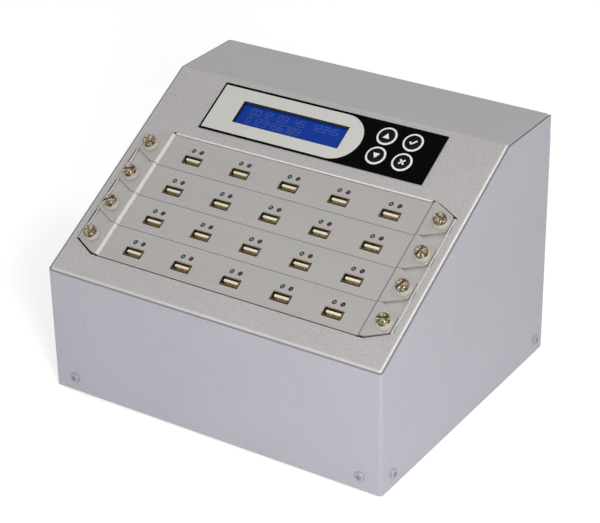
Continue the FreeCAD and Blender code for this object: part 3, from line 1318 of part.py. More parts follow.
def ribbon(name, points, x):
    """A flat cable through points in the YZ plane, as one bent strip."""
    half = value(S.ribbon_thickness) / 2
    spots = [Vector(0, value(y), value(z)) for y, z in points]
    left, right = [], []
    for number, spot in enumerate(spots):
        before = (spot - spots[max(number - 1, 0)])
        after = (spots[min(number + 1, len(spots) - 1)] - spot)
        if before.Length < 1e-6:
            before = after
        if after.Length < 1e-6:
            after = before
        before.normalize()
        after.normalize()
        bisector = before + after
        bisector.normalize()
        normal = Vector(0, -bisector.z, bisector.y)
        reach = half / bisector.dot(before)
        left.append(spot + normal * reach)
        right.append(spot - normal * reach)
    rim = left + right[::-1]
    face = Part.Face(Part.makePolygon(rim + [rim[0]]))
    width = value(S.ribbon_width)
    strip = face.extrude(Vector(width, 0, 0))
    item = document.addObject("Part::Feature", name)
    item.Shape = strip
    item.Placement = FreeCAD.Placement(Vector(value(x) - width / 2, 0, 0), Rotation())
    return item


header_top_z = f"({controller_top} + {S.header_height})"
header_end_n = f"({lcd_board_low} - {S.header_height})"
turn_n = f"({header_end_n} - {S.ribbon_lead})"
drop_y = slope_y(display_header_s, turn_n)
display_route = [
    (slope_y(display_header_s, header_end_n), slope_z(display_header_s, header_end_n)),
    (drop_y, slope_z(display_header_s, turn_n)),
    (drop_y, f"{header_top_z} + {S.display_cable_drop}"),
    (f"({drop_y} * 0.7 + {display_header_y} * 0.3)", f"{header_top_z} + {S.display_cable_bend}"),
    (display_header_y, f"{header_top_z} + {S.display_cable_foot}"),
    (display_header_y, header_top_z),
]
keep(ribbon("display_cable", display_route, S.window_x), "display_cable")

hub_end_n = f"({foot_level} - {S.header_height})"
hub_turn_n = f"({hub_end_n} - {S.ribbon_lead})"
hub_route = [
    (slope_y(header_s, hub_end_n), slope_z(header_s, hub_end_n)),
    (slope_y(header_s, hub_turn_n), slope_z(header_s, hub_turn_n)),
    (hub_header_y, f"{header_top_z} + {S.hub_cable_foot}"),
    (hub_header_y, header_top_z),
]
keep(ribbon("hub_cable", hub_route, "0"), "hub_cable")

# Fan: drawn with its own +Z pointing into the case.

fan_y = panel_inner_y
fan_solid = centred("fan_solid", ("0", "0"), "0", (S.fan_size, S.fan_size, S.fan_depth))
fan_tools = [rod("fan_airway", ("0", "0", "-1"), S.fan_bore, f"{S.fan_depth} + 2")]
for across, up in corner_holes:
    fan_tools.append(rod(f"fan_hole_{across + 2}_{up + 2}",
                         (f"{across} * {fan_corner}", f"{up} * {fan_corner}", "-1"),
                         S.fan_hole, f"{S.fan_depth} + 2"))
fan_ring = cut("fan_ring", fan_solid, fan_tools)
strut_length = f"(2 * {S.fan_bore} + 1)"
fan_frame_parts = [
    fan_ring,
    rod("motor_mount", ("0", "0", "0"), S.fan_mount_radius, S.fan_mount),
    centred("strut_across", ("0", "0"), "0", (strut_length, S.fan_strut, S.fan_mount)),
    centred("strut_up", ("0", "0"), "0", (S.fan_strut, strut_length, S.fan_mount)),
]
fan_bearing = rod("fan_bearing", ("0", "0", "-1"), f"{S.fan_shaft} + {S.thumb_play}",
                  f"{S.fan_mount} + 2")
fan_frame = cut("fan_frame", join("fan_frame_solid", fan_frame_parts), [fan_bearing])
keep(shift(turn(fan_frame, "-y"), fan_x, fan_y, fan_z), "fan_frame")

rotor_low = f"({S.fan_mount} + {S.rotor_gap})"
rotor_height = f"({S.fan_depth} - {rotor_low} - {S.fan_tip_gap})"
blades = []
for number in range(FAN_BLADES):
    blade_box = block(f"blade_box_{number}", ("0", f"-{S.blade_chord} / 2", f"-{S.blade_thickness} / 2"),
                      (f"{S.fan_bore} * 1.2", S.blade_chord, S.blade_thickness))
    pitched = group(f"blade_pitched_{number}", [blade_box])
    pitched.Placement = FreeCAD.Placement(Vector(), Rotation(Vector(1, 0, 0), 30))
    bind(pitched, {
        "Placement.Rotation.Angle": S.blade_pitch,
        "Placement.Base.z": f"{rotor_low} + {rotor_height} / 2",
    })
    around = group(f"blade_{number}", [pitched])
    around.Placement = FreeCAD.Placement(Vector(), Rotation(Vector(0, 0, 1),
                                                            360.0 * number / FAN_BLADES))
    blades.append(around)
sweep_disc = rod("blade_sweep", ("0", "0", rotor_low), f"{S.fan_bore} - {S.fan_tip_gap}",
                 rotor_height)
blade_set = overlap("blade_set", group("blade_group", blades), sweep_disc)
rotor_parts = [
    blade_set,
    rod("rotor_hub", ("0", "0", rotor_low), S.fan_hub, rotor_height),
    rod("rotor_shaft", ("0", "0", S.head_gap), S.fan_shaft, rotor_low),
]
fan_rotor = join("fan_rotor", rotor_parts)
keep(shift(turn(fan_rotor, "-y"), fan_x, fan_y, fan_z), "fan_rotor")

# Power inlet: drawn with its own +Z pointing into the case.

inlet_solid = join("inlet_solid", [
    centred("inlet_flange", ("0", "0"), f"-{S.inlet_flange_depth}",
            (S.inlet_flange_width, S.inlet_flange_height, S.inlet_flange_depth)),
    centred("inlet_body", ("0", "0"), f"-{S.inlet_flange_depth} / 2",
            (S.inlet_width, S.inlet_body_height, f"{S.inlet_depth} + {S.inlet_flange_depth} / 2")),
])
inlet_tools = [centred("inlet_well", ("0", "0"), f"-2 * {S.inlet_flange_depth}",
                       (f"{S.inlet_width} - 2 * {S.inlet_wall}",
                        f"{S.inlet_body_height} - 2 * {S.inlet_wall}",
                        f"{S.inlet_depth} - 2 * {S.inlet_wall} + 2 * {S.inlet_flange_depth}"))]
for side in (-1, 1):
    inlet_tools.append(rod(f"inlet_screw_hole_{side + 2}",
                           (f"{side} * {S.inlet_screw_pitch} / 2", "0",
                            f"-2 * {S.inlet_flange_depth}"), S.screw_hole,
                           f"4 * {S.inlet_flange_depth}"))
inlet_housing = cut("inlet_housing", inlet_solid, inlet_tools)
inlet_parts = [inlet_housing]
well_floor = f"({S.inlet_depth} - 2 * {S.inlet_wall})"
for name, across, up in (("line", -1, -1), ("neutral", 1, -1), ("earth", 0, 1)):
    inlet_parts.append(centred(f"inlet_blade_{name}",
                               (f"{across} * {S.inlet_blade_spacing}",
                                f"{up} * {S.inlet_blade_offset}"),
                               f"{well_floor} - {S.blade_pin_length}",
                               (S.inlet_blade_width, S.inlet_blade_height,
                                f"{S.blade_pin_length} + 2 * {S.inlet_wall} + {S.terminal_length}")))
power_inlet = join("power_inlet", inlet_parts)
keep(shift(turn(power_inlet, "-y"), inlet_x, rear_y, inlet_z), "power_inlet")

# Power switch: a housing and a rocker on a pivot pin across it.

housing_solid = join("switch_solid", [
    centred("switch_bezel_plate", ("0", "0"), f"-{S.switch_bezel}",
            (S.switch_bezel_width, S.switch_bezel_height, S.switch_bezel)),
    centred("switch_body", ("0", "0"), f"-{S.switch_bezel} / 2",
            (f"2 * {switch_side}", f"2 * {switch_body_half}",
             f"{S.switch_depth} + {S.switch_bezel} / 2")),
])
pivot_depth = f"({S.rocker_rise} * {rocker_cos} - {S.switch_bezel})"
well_depth = f"({pivot_depth} + {S.rocker_back} + 3 * {S.rocker_gap})"
switch_tools = [
    centred("switch_well_cut", ("0", "0"), f"-2 * {S.switch_bezel}",
            (f"{S.rocker_width} + 2 * {S.rocker_gap}", f"2 * {switch_well}",
             f"2 * {S.switch_bezel} + {well_depth}")),
    rod("switch_pivot_bore", (f"-({switch_side} - {S.rocker_pin_cover})", "0", pivot_depth),
        f"{S.rocker_pin} + {S.thumb_play}", f"2 * ({switch_side} - {S.rocker_pin_cover})", "+x"),
]
switch_parts = [cut("switch_shell", housing_solid, switch_tools)]
for number in (-1, 1):
    switch_parts.append(centred(f"switch_terminal_{number + 2}",
                                ("0", f"{number} * {S.terminal_offset}"),
                                f"{S.switch_depth} - {S.switch_wall} / 2",
                                (S.terminal_width, S.terminal_thickness, S.terminal_length)))
switch_housing = join("switch_housing", switch_parts)
keep(shift(turn(switch_housing, "-y"), inlet_x, rear_y, switch_z), "switch_housing")

rocker_outline = [
    (S.rocker_rise, "0"),
    (rocker_tip, S.rocker_half),
    (S.rocker_pin, S.rocker_shoulder),
    (f"-{S.rocker_back}", S.rocker_foot),
    (f"-{S.rocker_back}", f"-{S.rocker_foot}"),
    (S.rocker_pin, f"-{S.rocker_shoulder}"),
    (rocker_tip, f"-{S.rocker_half}"),
]
rocker_body = padded("rocker_body", "YZ_Plane", rocker_outline, S.rocker_width)
pin_half = f"({switch_side} - {S.rocker_pin_cover} - {S.seam_gap})"
rocker_axle = rod("rocker_axle", (f"-{pin_half}", "0", "0"), S.rocker_pin, f"2 * {pin_half}", "+x")
rocker = join("switch_rocker", [rocker_body, rocker_axle])
rocker.Placement = FreeCAD.Placement(Vector(), Rotation(Vector(1, 0, 0), -10))
bind(rocker, {"Placement.Rotation.Angle": f"-{S.rocker_tilt}"})
keep(shift(rocker, inlet_x, f"{rear_y} - {pivot_depth}", switch_z), "switch_rocker")

# Check every object, then write each sub-part to its own file.

document.recompute()
for item in document.Objects:
    if "Invalid" in item.State or "Error" in item.State:
        raise RuntimeError(f"{item.Name} failed: {item.State}")
for item in sub_parts:
    if item.Shape.isNull() or not item.Shape.isValid():
        raise RuntimeError(f"{item.Label} has no valid shape")

os.makedirs("parts", exist_ok=True)
for item in sub_parts:
    item.Shape.exportStep(f"parts/{item.Label}.step")
    print(item.Label, len(item.Shape.Solids), round(item.Shape.Volume, 1))
whole = Part.makeCompound([item.Shape for item in sub_parts])
box = whole.BoundBox
print("nodes", len(sub_parts), "box", [round(number, 3) for number in (
    box.XMin, box.YMin, box.ZMin, box.XMax, box.YMax, box.ZMax)])
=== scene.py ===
import json
import math

import bmesh
import bpy
from mathutils import Matrix, Vector


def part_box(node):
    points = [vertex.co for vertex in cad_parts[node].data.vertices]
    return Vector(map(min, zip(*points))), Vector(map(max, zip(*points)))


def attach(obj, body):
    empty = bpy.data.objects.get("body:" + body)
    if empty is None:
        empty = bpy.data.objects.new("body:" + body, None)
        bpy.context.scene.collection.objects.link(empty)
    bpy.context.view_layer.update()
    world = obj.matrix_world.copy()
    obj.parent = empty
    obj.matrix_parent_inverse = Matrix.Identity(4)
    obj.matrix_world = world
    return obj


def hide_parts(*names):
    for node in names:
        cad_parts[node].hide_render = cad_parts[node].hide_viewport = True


bl_info = {
    "name": "USB flash drive duplicator",
    "version": (1, 0, 0),
    "blender": (4, 5, 0),
    "location": "3D View > Sidebar > Duplicator",
    "description": "Builds a desktop duplicator for USB flash drives, its stage and its finishes",
    "category": "Object",
}

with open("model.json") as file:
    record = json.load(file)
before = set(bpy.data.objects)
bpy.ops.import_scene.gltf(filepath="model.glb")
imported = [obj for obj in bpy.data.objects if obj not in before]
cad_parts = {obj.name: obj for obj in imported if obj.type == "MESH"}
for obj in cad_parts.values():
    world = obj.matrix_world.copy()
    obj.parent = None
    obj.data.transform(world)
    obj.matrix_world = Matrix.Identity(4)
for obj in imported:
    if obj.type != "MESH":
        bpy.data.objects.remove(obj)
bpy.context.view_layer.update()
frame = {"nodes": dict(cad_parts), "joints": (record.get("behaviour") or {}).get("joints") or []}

MM = 0.001
SAME_POINT = 0.002 * MM
MODULE_NUMBERS = (1, 2, 3, 4)
PORTS = 5
ACROSS = Vector((1, 0, 0))
UPRIGHT = Vector((0, 0, 1))

# The slope's own frame: x to the right, y up the slope and z out of it.
# The first module's slide gives its direction, and a point on its centre line.

joint_of = {joint["name"]: joint for joint in frame["joints"]}
out_of_slope = Vector(joint_of["module_1_lift"]["axis"]).normalized()
up_slope = Vector((0, out_of_slope.z, -out_of_slope.y))
first_module_place = Vector(joint_of["module_1_lift"]["pos_m"])
FIRST_MODULE = 33.1 * MM
slope_origin = first_module_place - up_slope * FIRST_MODULE
slope_origin.x = 0


def frame_matrix(origin, across, along, outward):
    """The matrix of a frame from its origin and its three directions."""
    matrix = Matrix((across, along, outward)).transposed().to_4x4()
    matrix.translation = origin
    return matrix


SLOPE = frame_matrix(slope_origin, ACROSS, up_slope, out_of_slope)
SLOPE_INVERSE = SLOPE.inverted()


def module_middle(number):
    """Distance of a module's centre line up the slope."""
    place = Vector(joint_of[f"module_{number}_lift"]["pos_m"])
    return (place - slope_origin).dot(up_slope)


def key_place(name):
    """A key's middle across and up the slope."""
    place = SLOPE_INVERSE @ Vector(joint_of[f"{name}_press"]["pos_m"])
    return (place.x, place.y)


def on_slope(x, y):
    """The matrix of a piece whose middle is at a place on the slope."""
    return SLOPE @ Matrix.Translation((x, y, 0))


# Sizes and colours.


def from_screen(*levels):
    """A colour in Blender's linear values from the 0 to 255 values of a screen."""
    return tuple(level / 255 / 12.92 if level / 255 <= 0.04045
                 else ((level / 255 + 0.055) / 1.055) ** 2.4 for level in levels)


def length(name, description, millimetres):
    return bpy.props.FloatProperty(name=name, description=description, unit="LENGTH",
                                   default=millimetres * MM, min=0, precision=5)


def colour(name, description, *levels):
    return bpy.props.FloatVectorProperty(name=name, description=description, subtype="COLOR",
                                         size=3, default=from_screen(*levels), min=0, max=1)


class DuplicatorSizes(bpy.types.PropertyGroup):
    """Sizes of the detailed pieces."""
    port_pitch: length("Port pitch", "One port to the next", 38.2)
    port_drop: length("Port drop", "Port centre below a module's centre line", 3.4)
    plate_height: length("Plate height", "Port plate up the slope", 25.7)
    plate_thickness: length("Plate thickness", "Port plate", 2.0)
    plate_edge: length("Plate edge", "Rounding of the port plate's edges", 0.22)
    port_level: length("Port zone depth", "Port zone below the slope", 1.0)
    ear_level: length("Ear level", "Ears above the slope", 1.0)
    step_inner: length("Step foot", "Foot of the plate's step from the middle", 99.25)
    step_outer: length("Step head", "Head of the plate's step from the middle", 100.8)
    ear_shoulder: length("Ear shoulder", "Where an ear starts to narrow", 103.9)
    ear_tip: length("Ear tip", "Half length of the port plate", 118.3)
    screw_offset: length("Thumbscrew offset", "Thumbscrews from the middle", 112.0)
    shell_width: length("Socket width", "Socket shell outside", 13.1)
    shell_height: length("Socket height", "Socket shell outside", 5.8)
    shell_wall: length("Socket wall", "Sheet of the socket shell", 0.3)
    shell_length: length("Socket length", "Socket mouth to the board", 13.6)
    mouth_depth: length("Mouth depth", "Socket mouth below the slope", 0.6)
    lamp_rise: length("Lamp rise", "Lamps above a module's centre line", 4.5)
    lamp_spacing: length("Lamp spacing", "Green lamp to red lamp", 6.3)
    lamp_radius: length("Lamp radius", "Indicator lamp", 1.5)
    knob_radius: length("Knob radius", "Thumbscrew head", 4.5)
    knob_height: length("Knob height", "Thumbscrew head", 3.6)
    knob_rim: length("Knob rim", "Rounding of a thumbscrew's head", 2.1)
    label_width: length("Label width", "Control label", 172.8)
    label_bottom: length("Label bottom", "Lower edge of the label, up the slope", 133.6)
    label_height: length("Label height", "Control label", 40.2)
    label_thickness: length("Label thickness", "Control label", 0.5)
    label_border: length("Label border", "Black border around the white print", 1.5)
    window_width: length("Window width", "Display window", 83.1)
    window_height: length("Window height", "Display window", 18.4)
    window_margin: length("Window margin", "Cover opening past the window", 1.0)
    window_shade: length("Window shade", "Dark border in the top of the window", 0.8)
    window_drop: length("Window drop", "Window towards the lower edge of its opening", 1.1)
    lip_inner: length("Lip inside", "Inner side of a rail's lip from the middle", 118.55)
    lip_outer: length("Lip outside", "Outer side of a rail's lip from the middle", 120.5)
    lip_level: length("Lip level", "Top of a rail's lip above the slope", 0.4)
    lip_edge: length("Lip edge", "Corner radius of a rail's lip", 0.55)
    lip_overrun: length("Lip overrun", "Lip past the outer ears' ends", 0.2)
    lip_notch_left: length("Left notch", "Notches in the left lip between the ears", 11.0)
    lip_notch_right: length("Right notch", "Notches in the right lip beside the ears", 6.5)
    lip_notch_depth: length("Notch depth", "Notches in the left lip", 0.7)
    lip_notch_right_depth: length("Right notch depth", "Notches in the right lip", 0.35)
    lip_notch_drop: length("Right notch drop", "Right notches below the modules' middles", 3.0)
    rolled_edge: length("Rolled edge", "Radius of the cover's edge above the plates", 0.95)
    rolled_gap: length("Upper gap", "Port plates to the rolled edge", 0.12)
    rolled_depth: length("Rolled depth", "Rolled edge below the cover's sheet", 0.5)
    front_gap: length("Lower gap", "Port plates to the cover below them", 1.25)
    corner_gap: length("Corner gap", "Widening of the opening at two of its tips", 0.5)
    key_radius: length("Key radius", "Round key", 7.1)
    key_ring: length("Key ring", "Width of the white ring on a key", 1.4)


class DuplicatorColours(bpy.types.PropertyGroup):
    """Colours of the finishes."""
    case_paint: colour("Case paint", "Silver grey powder coat", 177, 174, 173)
    top_paint: colour("Top paint", "Finer powder coat of the flat top", 170, 167, 170)
    side_paint: colour("Side paint", "Powder coat of the front and sides", 174, 172, 180)
    plate_paint: colour("Plate paint", "Smooth paint of the port plates", 172, 169, 167)
    seat_paint: colour("Seat paint", "Pale plating of the rails", 177, 173, 170)
    # Dark brown as painted reflection of a darker surrounding, in place of the nickel's own
    # colour.
    knob_metal: colour("Knob metal", "Nickel of the thumbscrews", 74, 58, 36)
    collar_metal: colour("Collar", "Pale collar under a thumbscrew", 178, 174, 160)
    socket_metal: colour("Socket metal", "Nickel shells of the sockets", 132, 120, 94)
    tongue_plastic: colour("Tongue", "Cream plastic in the sockets", 232, 226, 208)
    label_black: colour("Label black", "Black of the control label", 3, 3, 5)
    label_white: colour("Label white", "White print of the control label", 206, 204, 199)
    screen_blue: colour("Display blue", "Background of the display", 6, 54, 148)
    digit_blue: colour("Digit blue", "Characters of the display", 74, 96, 170)
    lamp_green: colour("Green lamp", "Lens of the green lamps", 38, 84, 50)
    lamp_red: colour("Red lamp", "Lens of the red lamps", 62, 8, 18)


# Finishes. Grain sizes and bump depths are given in millimetres.

COVER_REVEAL = 1.1 * MM
BOARD_THICKNESS = 1.6 * MM
SLOPE_BOARDS = {"hub_green": -27, "port_green": -15.8, "lcd_green": -11.55, "key_green": -10.35}
FLOOR_BOARD = 13 * MM
PAINT_SHEEN = 0.45

materials = {}


def join(socket, source):
    """Links a socket to another node's output, or sets its constant value."""
    if isinstance(source, bpy.types.NodeSocket):
        socket.id_data.links.new(source, socket)
    else:
        socket.default_value = source


def add_node(tree, kind, sockets=(), **settings):
    """Adds a shader node with its settings and inputs, and returns its outputs."""
    node = tree.nodes.new("ShaderNode" + kind)
    for name, setting in settings.items():
        setattr(node, name, setting)
    for name, source in dict(sockets).items():
        join(node.inputs[name], source)
    return node.outputs


def dress(shader, **sources):
    """Links or sets the inputs of a shader, named with _ for a blank."""
    for name, source in sources.items():
        join(shader.inputs[name.replace("_", " ")], source)


def object_place(tree):
    """Texture coordinates in the object's own metres."""
    return add_node(tree, "TexCoord")["Object"]


def grain(tree, size):
    """Noise with grains of a size."""
    return add_node(tree, "TexNoise", {"Vector": object_place(tree), "Scale": 1 / (size * MM),
                                       "Detail": 3, "Roughness": 0.6})["Fac"]


def ramp(tree, factor, *stops):
    """A colour ramp through pairs of a place and a colour."""
    node = tree.nodes.new("ShaderNodeValToRGB")
    elements = node.color_ramp.elements
    while len(elements) < len(stops):
        elements.new(0.5)
    for element, (place, shade) in zip(elements, stops):
        element.position = place
        element.color = (*shade, 1)
    join(node.inputs["Fac"], factor)
    return node.outputs["Color"]


def mix(tree, factor, first, second, mode="MIX"):
    """Mixes two colours, each a tuple or another node's output."""
    first, second = (shade if isinstance(shade, bpy.types.NodeSocket) else (*shade, 1)
                     for shade in (first, second))
    return add_node(tree, "Mix", {0: factor, 6: first, 7: second}, data_type="RGBA",
                    blend_type=mode)[2]


def spread(tree, value, low, high, from_low=0.3, from_high=0.7):
    """Maps a value from one range to another."""
    return add_node(tree, "MapRange", {"Value": value, "From Min": from_low,
                                       "From Max": from_high, "To Min": low,
                                       "To Max": high})["Result"]


def bump(tree, height, depth, strength=1.0):
    return add_node(tree, "Bump", {"Strength": strength, "Distance": depth * MM,
                                   "Height": height})["Normal"]


def above_plane(tree, origin, direction):
    """Distance of a point above a plane, in metres."""
    shift = add_node(tree, "VectorMath", {0: object_place(tree), 1: origin},
                     operation="SUBTRACT")["Vector"]
    return add_node(tree, "VectorMath", {0: shift, 1: direction},
                    operation="DOT_PRODUCT")["Value"]


def shaded(shade, factor):
    return tuple(min(1.0, level * factor) for level in shade)


def new_material(name, shade, metallic, roughness, **constants):
    """A material's node tree and shader, with the constant values on the shader itself."""
    material = materials[name] = bpy.data.materials.new(name)
    material.use_nodes = True
    material.diffuse_color = (*shade, 1)
    shader = material.node_tree.nodes["Principled BSDF"]
    dress(shader, Base_Color=(*shade, 1), Metallic=metallic, Roughness=roughness)
    dress(shader, **constants)
    return material.node_tree, shader


def powder_coat(name, shade, size, depth, contrast, roughness):
    """Silver paint: fine speckle, slight clouding, an orange-peel bump and a metal sheen."""
    tree, shader = new_material(name, shade, PAINT_SHEEN, roughness)
    fine = grain(tree, size)
    speckle = ramp(tree, fine, (0.34, shaded(shade, 1 - contrast)), (0.5, shade),
                   (0.66, shaded(shade, 1 + contrast)))
    cloud = ramp(tree, grain(tree, 60), (0.3, (0.965, 0.965, 0.965)), (0.7, (1, 1, 1)))
    tone = mix(tree, 1.0, speckle, cloud, "MULTIPLY")
    dress(shader, Base_Color=tone, Normal=bump(tree, fine, depth),
          Roughness=spread(tree, fine, roughness - 0.06, roughness + 0.08))
    return tree, shader, tone


def wrap_paint(name, shade):
    """The paint of the front and sides; the sheet's cut top edges along the cover are painted dark
    grey as painted shade of the seam under the cover.
    """
    tree, shader, tone = powder_coat(name, shade, 1.0, 0.04, 0.08, 0.48)
    top = Vector((0, 0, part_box("top_cover")[1][2]))
    # Dark greys on the sheet's top edges: painted shade of the seams under the cover, along the
    # slope and along the flat top.
    for place, way, cut in ((slope_origin, out_of_slope, from_screen(134, 133, 138)),
                            (top, UPRIGHT, from_screen(104, 103, 107))):
        level = above_plane(tree, place - way * COVER_REVEAL, way)
        tone = mix(tree, spread(tree, level, 0, 1, -0.08 * MM, -0.05 * MM), tone, cut)
    dress(shader, Base_Color=tone)


def plated_metal(name, shade, roughness, size=0.25, tint=None):
    """Plated metal with fine scratches and slightly stained patches."""
    tree, shader = new_material(name, shade, 1.0, roughness)
    fine = grain(tree, size)
    patches = ramp(tree, grain(tree, 4), (0.35, tint or shaded(shade, 0.72)), (0.6, shade))
    dress(shader, Base_Color=patches, Normal=bump(tree, fine, 0.01, 0.5),
          Roughness=spread(tree, fine, roughness * 0.7, roughness * 1.4))


def nickel_with_painted_reflection(name, shade):
    """Polished nickel under a clear shine, in a dark brown tone mottled up to nearly white:
    painted reflection of a darker surrounding.
    """
    tree, shader = new_material(name, shade, 0.9, 0.2, Coat_Weight=1.0, Coat_Roughness=0.07)
    patches = grain(tree, 1.9)
    # The mottling from dark brown to nearly white is painted reflection.
    tone = ramp(tree, patches, (0.34, from_screen(26, 17, 8)), (0.44, shade),
                (0.55, from_screen(136, 116, 84)), (0.66, from_screen(222, 210, 186)))
    dress(shader, Base_Color=tone, Normal=bump(tree, patches, 0.04))


def moulded_plastic(name, shade, roughness, size=0.4, depth=0.02, **constants):
    """Moulded plastic with a fine spark-eroded surface."""
    tree, shader = new_material(name, shade, 0.0, roughness, **constants)
    fine = grain(tree, size)
    tone = ramp(tree, fine, (0.3, shaded(shade, 0.88)), (0.7, shaded(shade, 1.08)))
    dress(shader, Base_Color=tone, Normal=bump(tree, fine, depth),
          Roughness=spread(tree, fine, roughness - 0.05, roughness + 0.08))


def circuit_board(name, origin, direction):
    """Green solder mask with traces; what stands off the board is dark plastic."""
    green = from_screen(22, 84, 46)
    tree, shader = new_material(name, green, 0.0, 0.35)
    level = above_plane(tree, origin, direction)
    pattern = add_node(tree, "TexVoronoi", {"Vector": object_place(tree), "Scale": 260},
                       distance="MANHATTAN", feature="DISTANCE_TO_EDGE")["Distance"]
    traces = ramp(tree, pattern, (0.0, shaded(green, 1.6)), (0.07, green),
                  (0.12, shaded(green, 0.85)))
    inside = spread(tree, level, 0, 1, -0.05 * MM, 0.0)
    above = spread(tree, level, 0, 1, BOARD_THICKNESS, BOARD_THICKNESS + 0.05 * MM)
    board = add_node(tree, "Math", {0: inside, 1: above}, operation="SUBTRACT")["Value"]
    dress(shader, Base_Color=mix(tree, board, from_screen(30, 30, 32), traces),
          Normal=bump(tree, grain(tree, 0.3), 0.015))


def lamp_lens(name, rim, centre):
    """A lamp's lens, dark at its foot in the plate's hole as painted shade and pale at its tip as
    a painted highlight.
    """
    tree, shader = new_material(name, rim, 0.0, 0.22, Specular_IOR_Level=0.25)
    height = add_node(tree, "SeparateXYZ", {0: object_place(tree)})["Z"]
    # Dark towards the dome's foot in the plate's hole: painted shade; the pale second colour at
    # its tip: a painted highlight.
    tone = ramp(tree, spread(tree, height, 0, 1, -2.2 * MM, -0.9 * MM),
                (0.0, shaded(rim, 0.12)), (0.5, shaded(rim, 0.5)), (0.8, rim), (0.98, centre))
    dress(shader, Base_Color=tone)


def make_materials(colours):
    case, side, plate = colours.case_paint, colours.side_paint, colours.plate_paint
    powder_coat("case_paint", case, 0.6, 0.05, 0.22, 0.44)
    # A brighter copy of the case paint: painted highlight on the cover's bends and the lips'
    # rounded edges.
    powder_coat("edge_painted_highlight", shaded(case, 1.14), 0.6, 0.004, 0.03, 0.33)
    # A much brighter copy of the case paint: painted highlight on the rolled edge above the
    # plates.
    powder_coat("rolled_painted_highlight", shaded(case, 1.45), 0.6, 0.004, 0.03, 0.28)
    powder_coat("screw_paint", from_screen(168, 166, 173), 0.6, 0.01, 0.05, 0.62)
    powder_coat("top_paint", colours.top_paint, 0.8, 0.03, 0.1, 0.46)
    powder_coat("side_paint", side, 1.0, 0.04, 0.08, 0.48)
    wrap_paint("wrap_paint", side)
    powder_coat("plate_paint", plate, 0.8, 0.015, 0.07, 0.36)
    # A copy of the plate paint at half its brightness: painted shade on the right step's face,
    # which the light only grazes.
    powder_coat("step_painted_shade", shaded(plate, 0.5), 0.8, 0.015, 0.07, 0.5)
    powder_coat("seat_paint", colours.seat_paint, 0.8, 0.015, 0.05, 0.36)
    plated_metal("zinc_steel", from_screen(184, 184, 182), 0.38, 6)
    plated_metal("socket_metal", colours.socket_metal, 0.3, 0.3, from_screen(120, 98, 64))
    plated_metal("lamp_leg", from_screen(200, 200, 196), 0.35)
    nickel_with_painted_reflection("knob_metal", colours.knob_metal)
    moulded_plastic("collar_metal", colours.collar_metal, 0.3, 1.2, 0.03)
    moulded_plastic("contact_gold", from_screen(214, 178, 104), 0.3, Metallic=0.35)
    moulded_plastic("socket_plastic", colours.tongue_plastic, 0.35)
    moulded_plastic("foot_rubber", from_screen(34, 34, 36), 0.7, 1.2, 0.05)
    moulded_plastic("label_black", colours.label_black, 0.5, 0.5, 0.01, Specular_IOR_Level=0.02)
    moulded_plastic("label_white", colours.label_white, 0.5, 0.5, 0.01)
    moulded_plastic("key_plastic", colours.label_black, 0.42, Specular_IOR_Level=0.08)
    moulded_plastic("key_white", from_screen(232, 232, 230), 0.42)
    moulded_plastic("screen_blue", colours.screen_blue, 0.35, 30, 0.0, Specular_IOR_Level=0.12)
    moulded_plastic("digit_blue", colours.digit_blue, 0.4, Specular_IOR_Level=0.12)
    moulded_plastic("frame_black", from_screen(24, 24, 26), 0.45)
    moulded_plastic("black_plastic", from_screen(24, 24, 26), 0.42, 0.5)
    moulded_plastic("cable_grey", from_screen(150, 150, 152), 0.5, 1.2)
    for name, level in SLOPE_BOARDS.items():
        circuit_board(name, slope_origin + out_of_slope * (level * MM), out_of_slope)
    circuit_board("floor_green", UPRIGHT * FLOOR_BOARD, UPRIGHT)
    # The second colour of each lamp is the painted highlight on the tip of its lens.
    lamp_lens("lamp_green", colours.lamp_green, from_screen(118, 150, 124))
    lamp_lens("lamp_red", colours.lamp_red, from_screen(112, 56, 62))


# Objects and outlines. All lengths are in metres, in the piece's own frame.


def add_object(name, data):
    item = bpy.data.objects.new(name, data)
    bpy.context.scene.collection.objects.link(item)
    return item


def smooth(mesh, angle):
    """Shades a mesh smooth, with sharp edges from an angle upwards."""
    mesh.shade_smooth()
    mesh.set_sharp_from_angle(angle=math.radians(angle))


def weigh_normals(item):
    """Keeps the large faces of an object flat in its smooth shading."""
    item.modifiers.new("shading", "WEIGHTED_NORMAL").keep_sharp = True


def in_mm(*points):
    """Points given in millimetres, in metres."""
    return [tuple(number * MM for number in point) for point in points]


def arc(centre, radius, start, end, steps):
    """Points on an arc, angles in degrees."""
    points = []
    for step in range(steps + 1):
        angle = math.radians(start + (end - start) * step / steps)
        points.append((centre[0] + radius * math.cos(angle), centre[1] + radius * math.sin(angle)))
    return points


def circle(middle, radius, steps):
    return arc(middle, radius, 0, 360, steps)[:-1]


def rounded_rectangle(middle, half_width, half_height, radius, steps=4):
    """An anticlockwise rectangle with round corners."""
    x, y = middle
    points = []
    for right, up, start in ((1, 1, 0), (-1, 1, 90), (-1, -1, 180), (1, -1, 270)):
        corner = (x + right * (half_width - radius), y + up * (half_height - radius))
        points += arc(corner, radius, start, start + 90, steps)
    return points


def round_corners(corners, steps=5):
    """An outline from (x, y, radius) corners, each rounded by its radius."""
    points = []
    for number, (x, y, radius) in enumerate(corners):
        here = Vector((x, y))
        before = (Vector(corners[number - 1][:2]) - here).normalized()
        after = (Vector(corners[(number + 1) % len(corners)][:2]) - here).normalized()
        half = before.angle(after) / 2
        reach = radius / math.tan(half)
        middle = here + (before + after).normalized() * radius / math.sin(half)
        first = here + before * reach - middle
        turn = first.angle_signed(here + after * reach - middle)
        for step in range(steps + 1):
            spoke = first.copy()
            spoke.rotate(Matrix.Rotation(-turn * step / steps, 2))
            points.append(tuple(middle + spoke))
    return points


def raised(points, level):
    return [Vector((x, y, level)) for x, y in points]


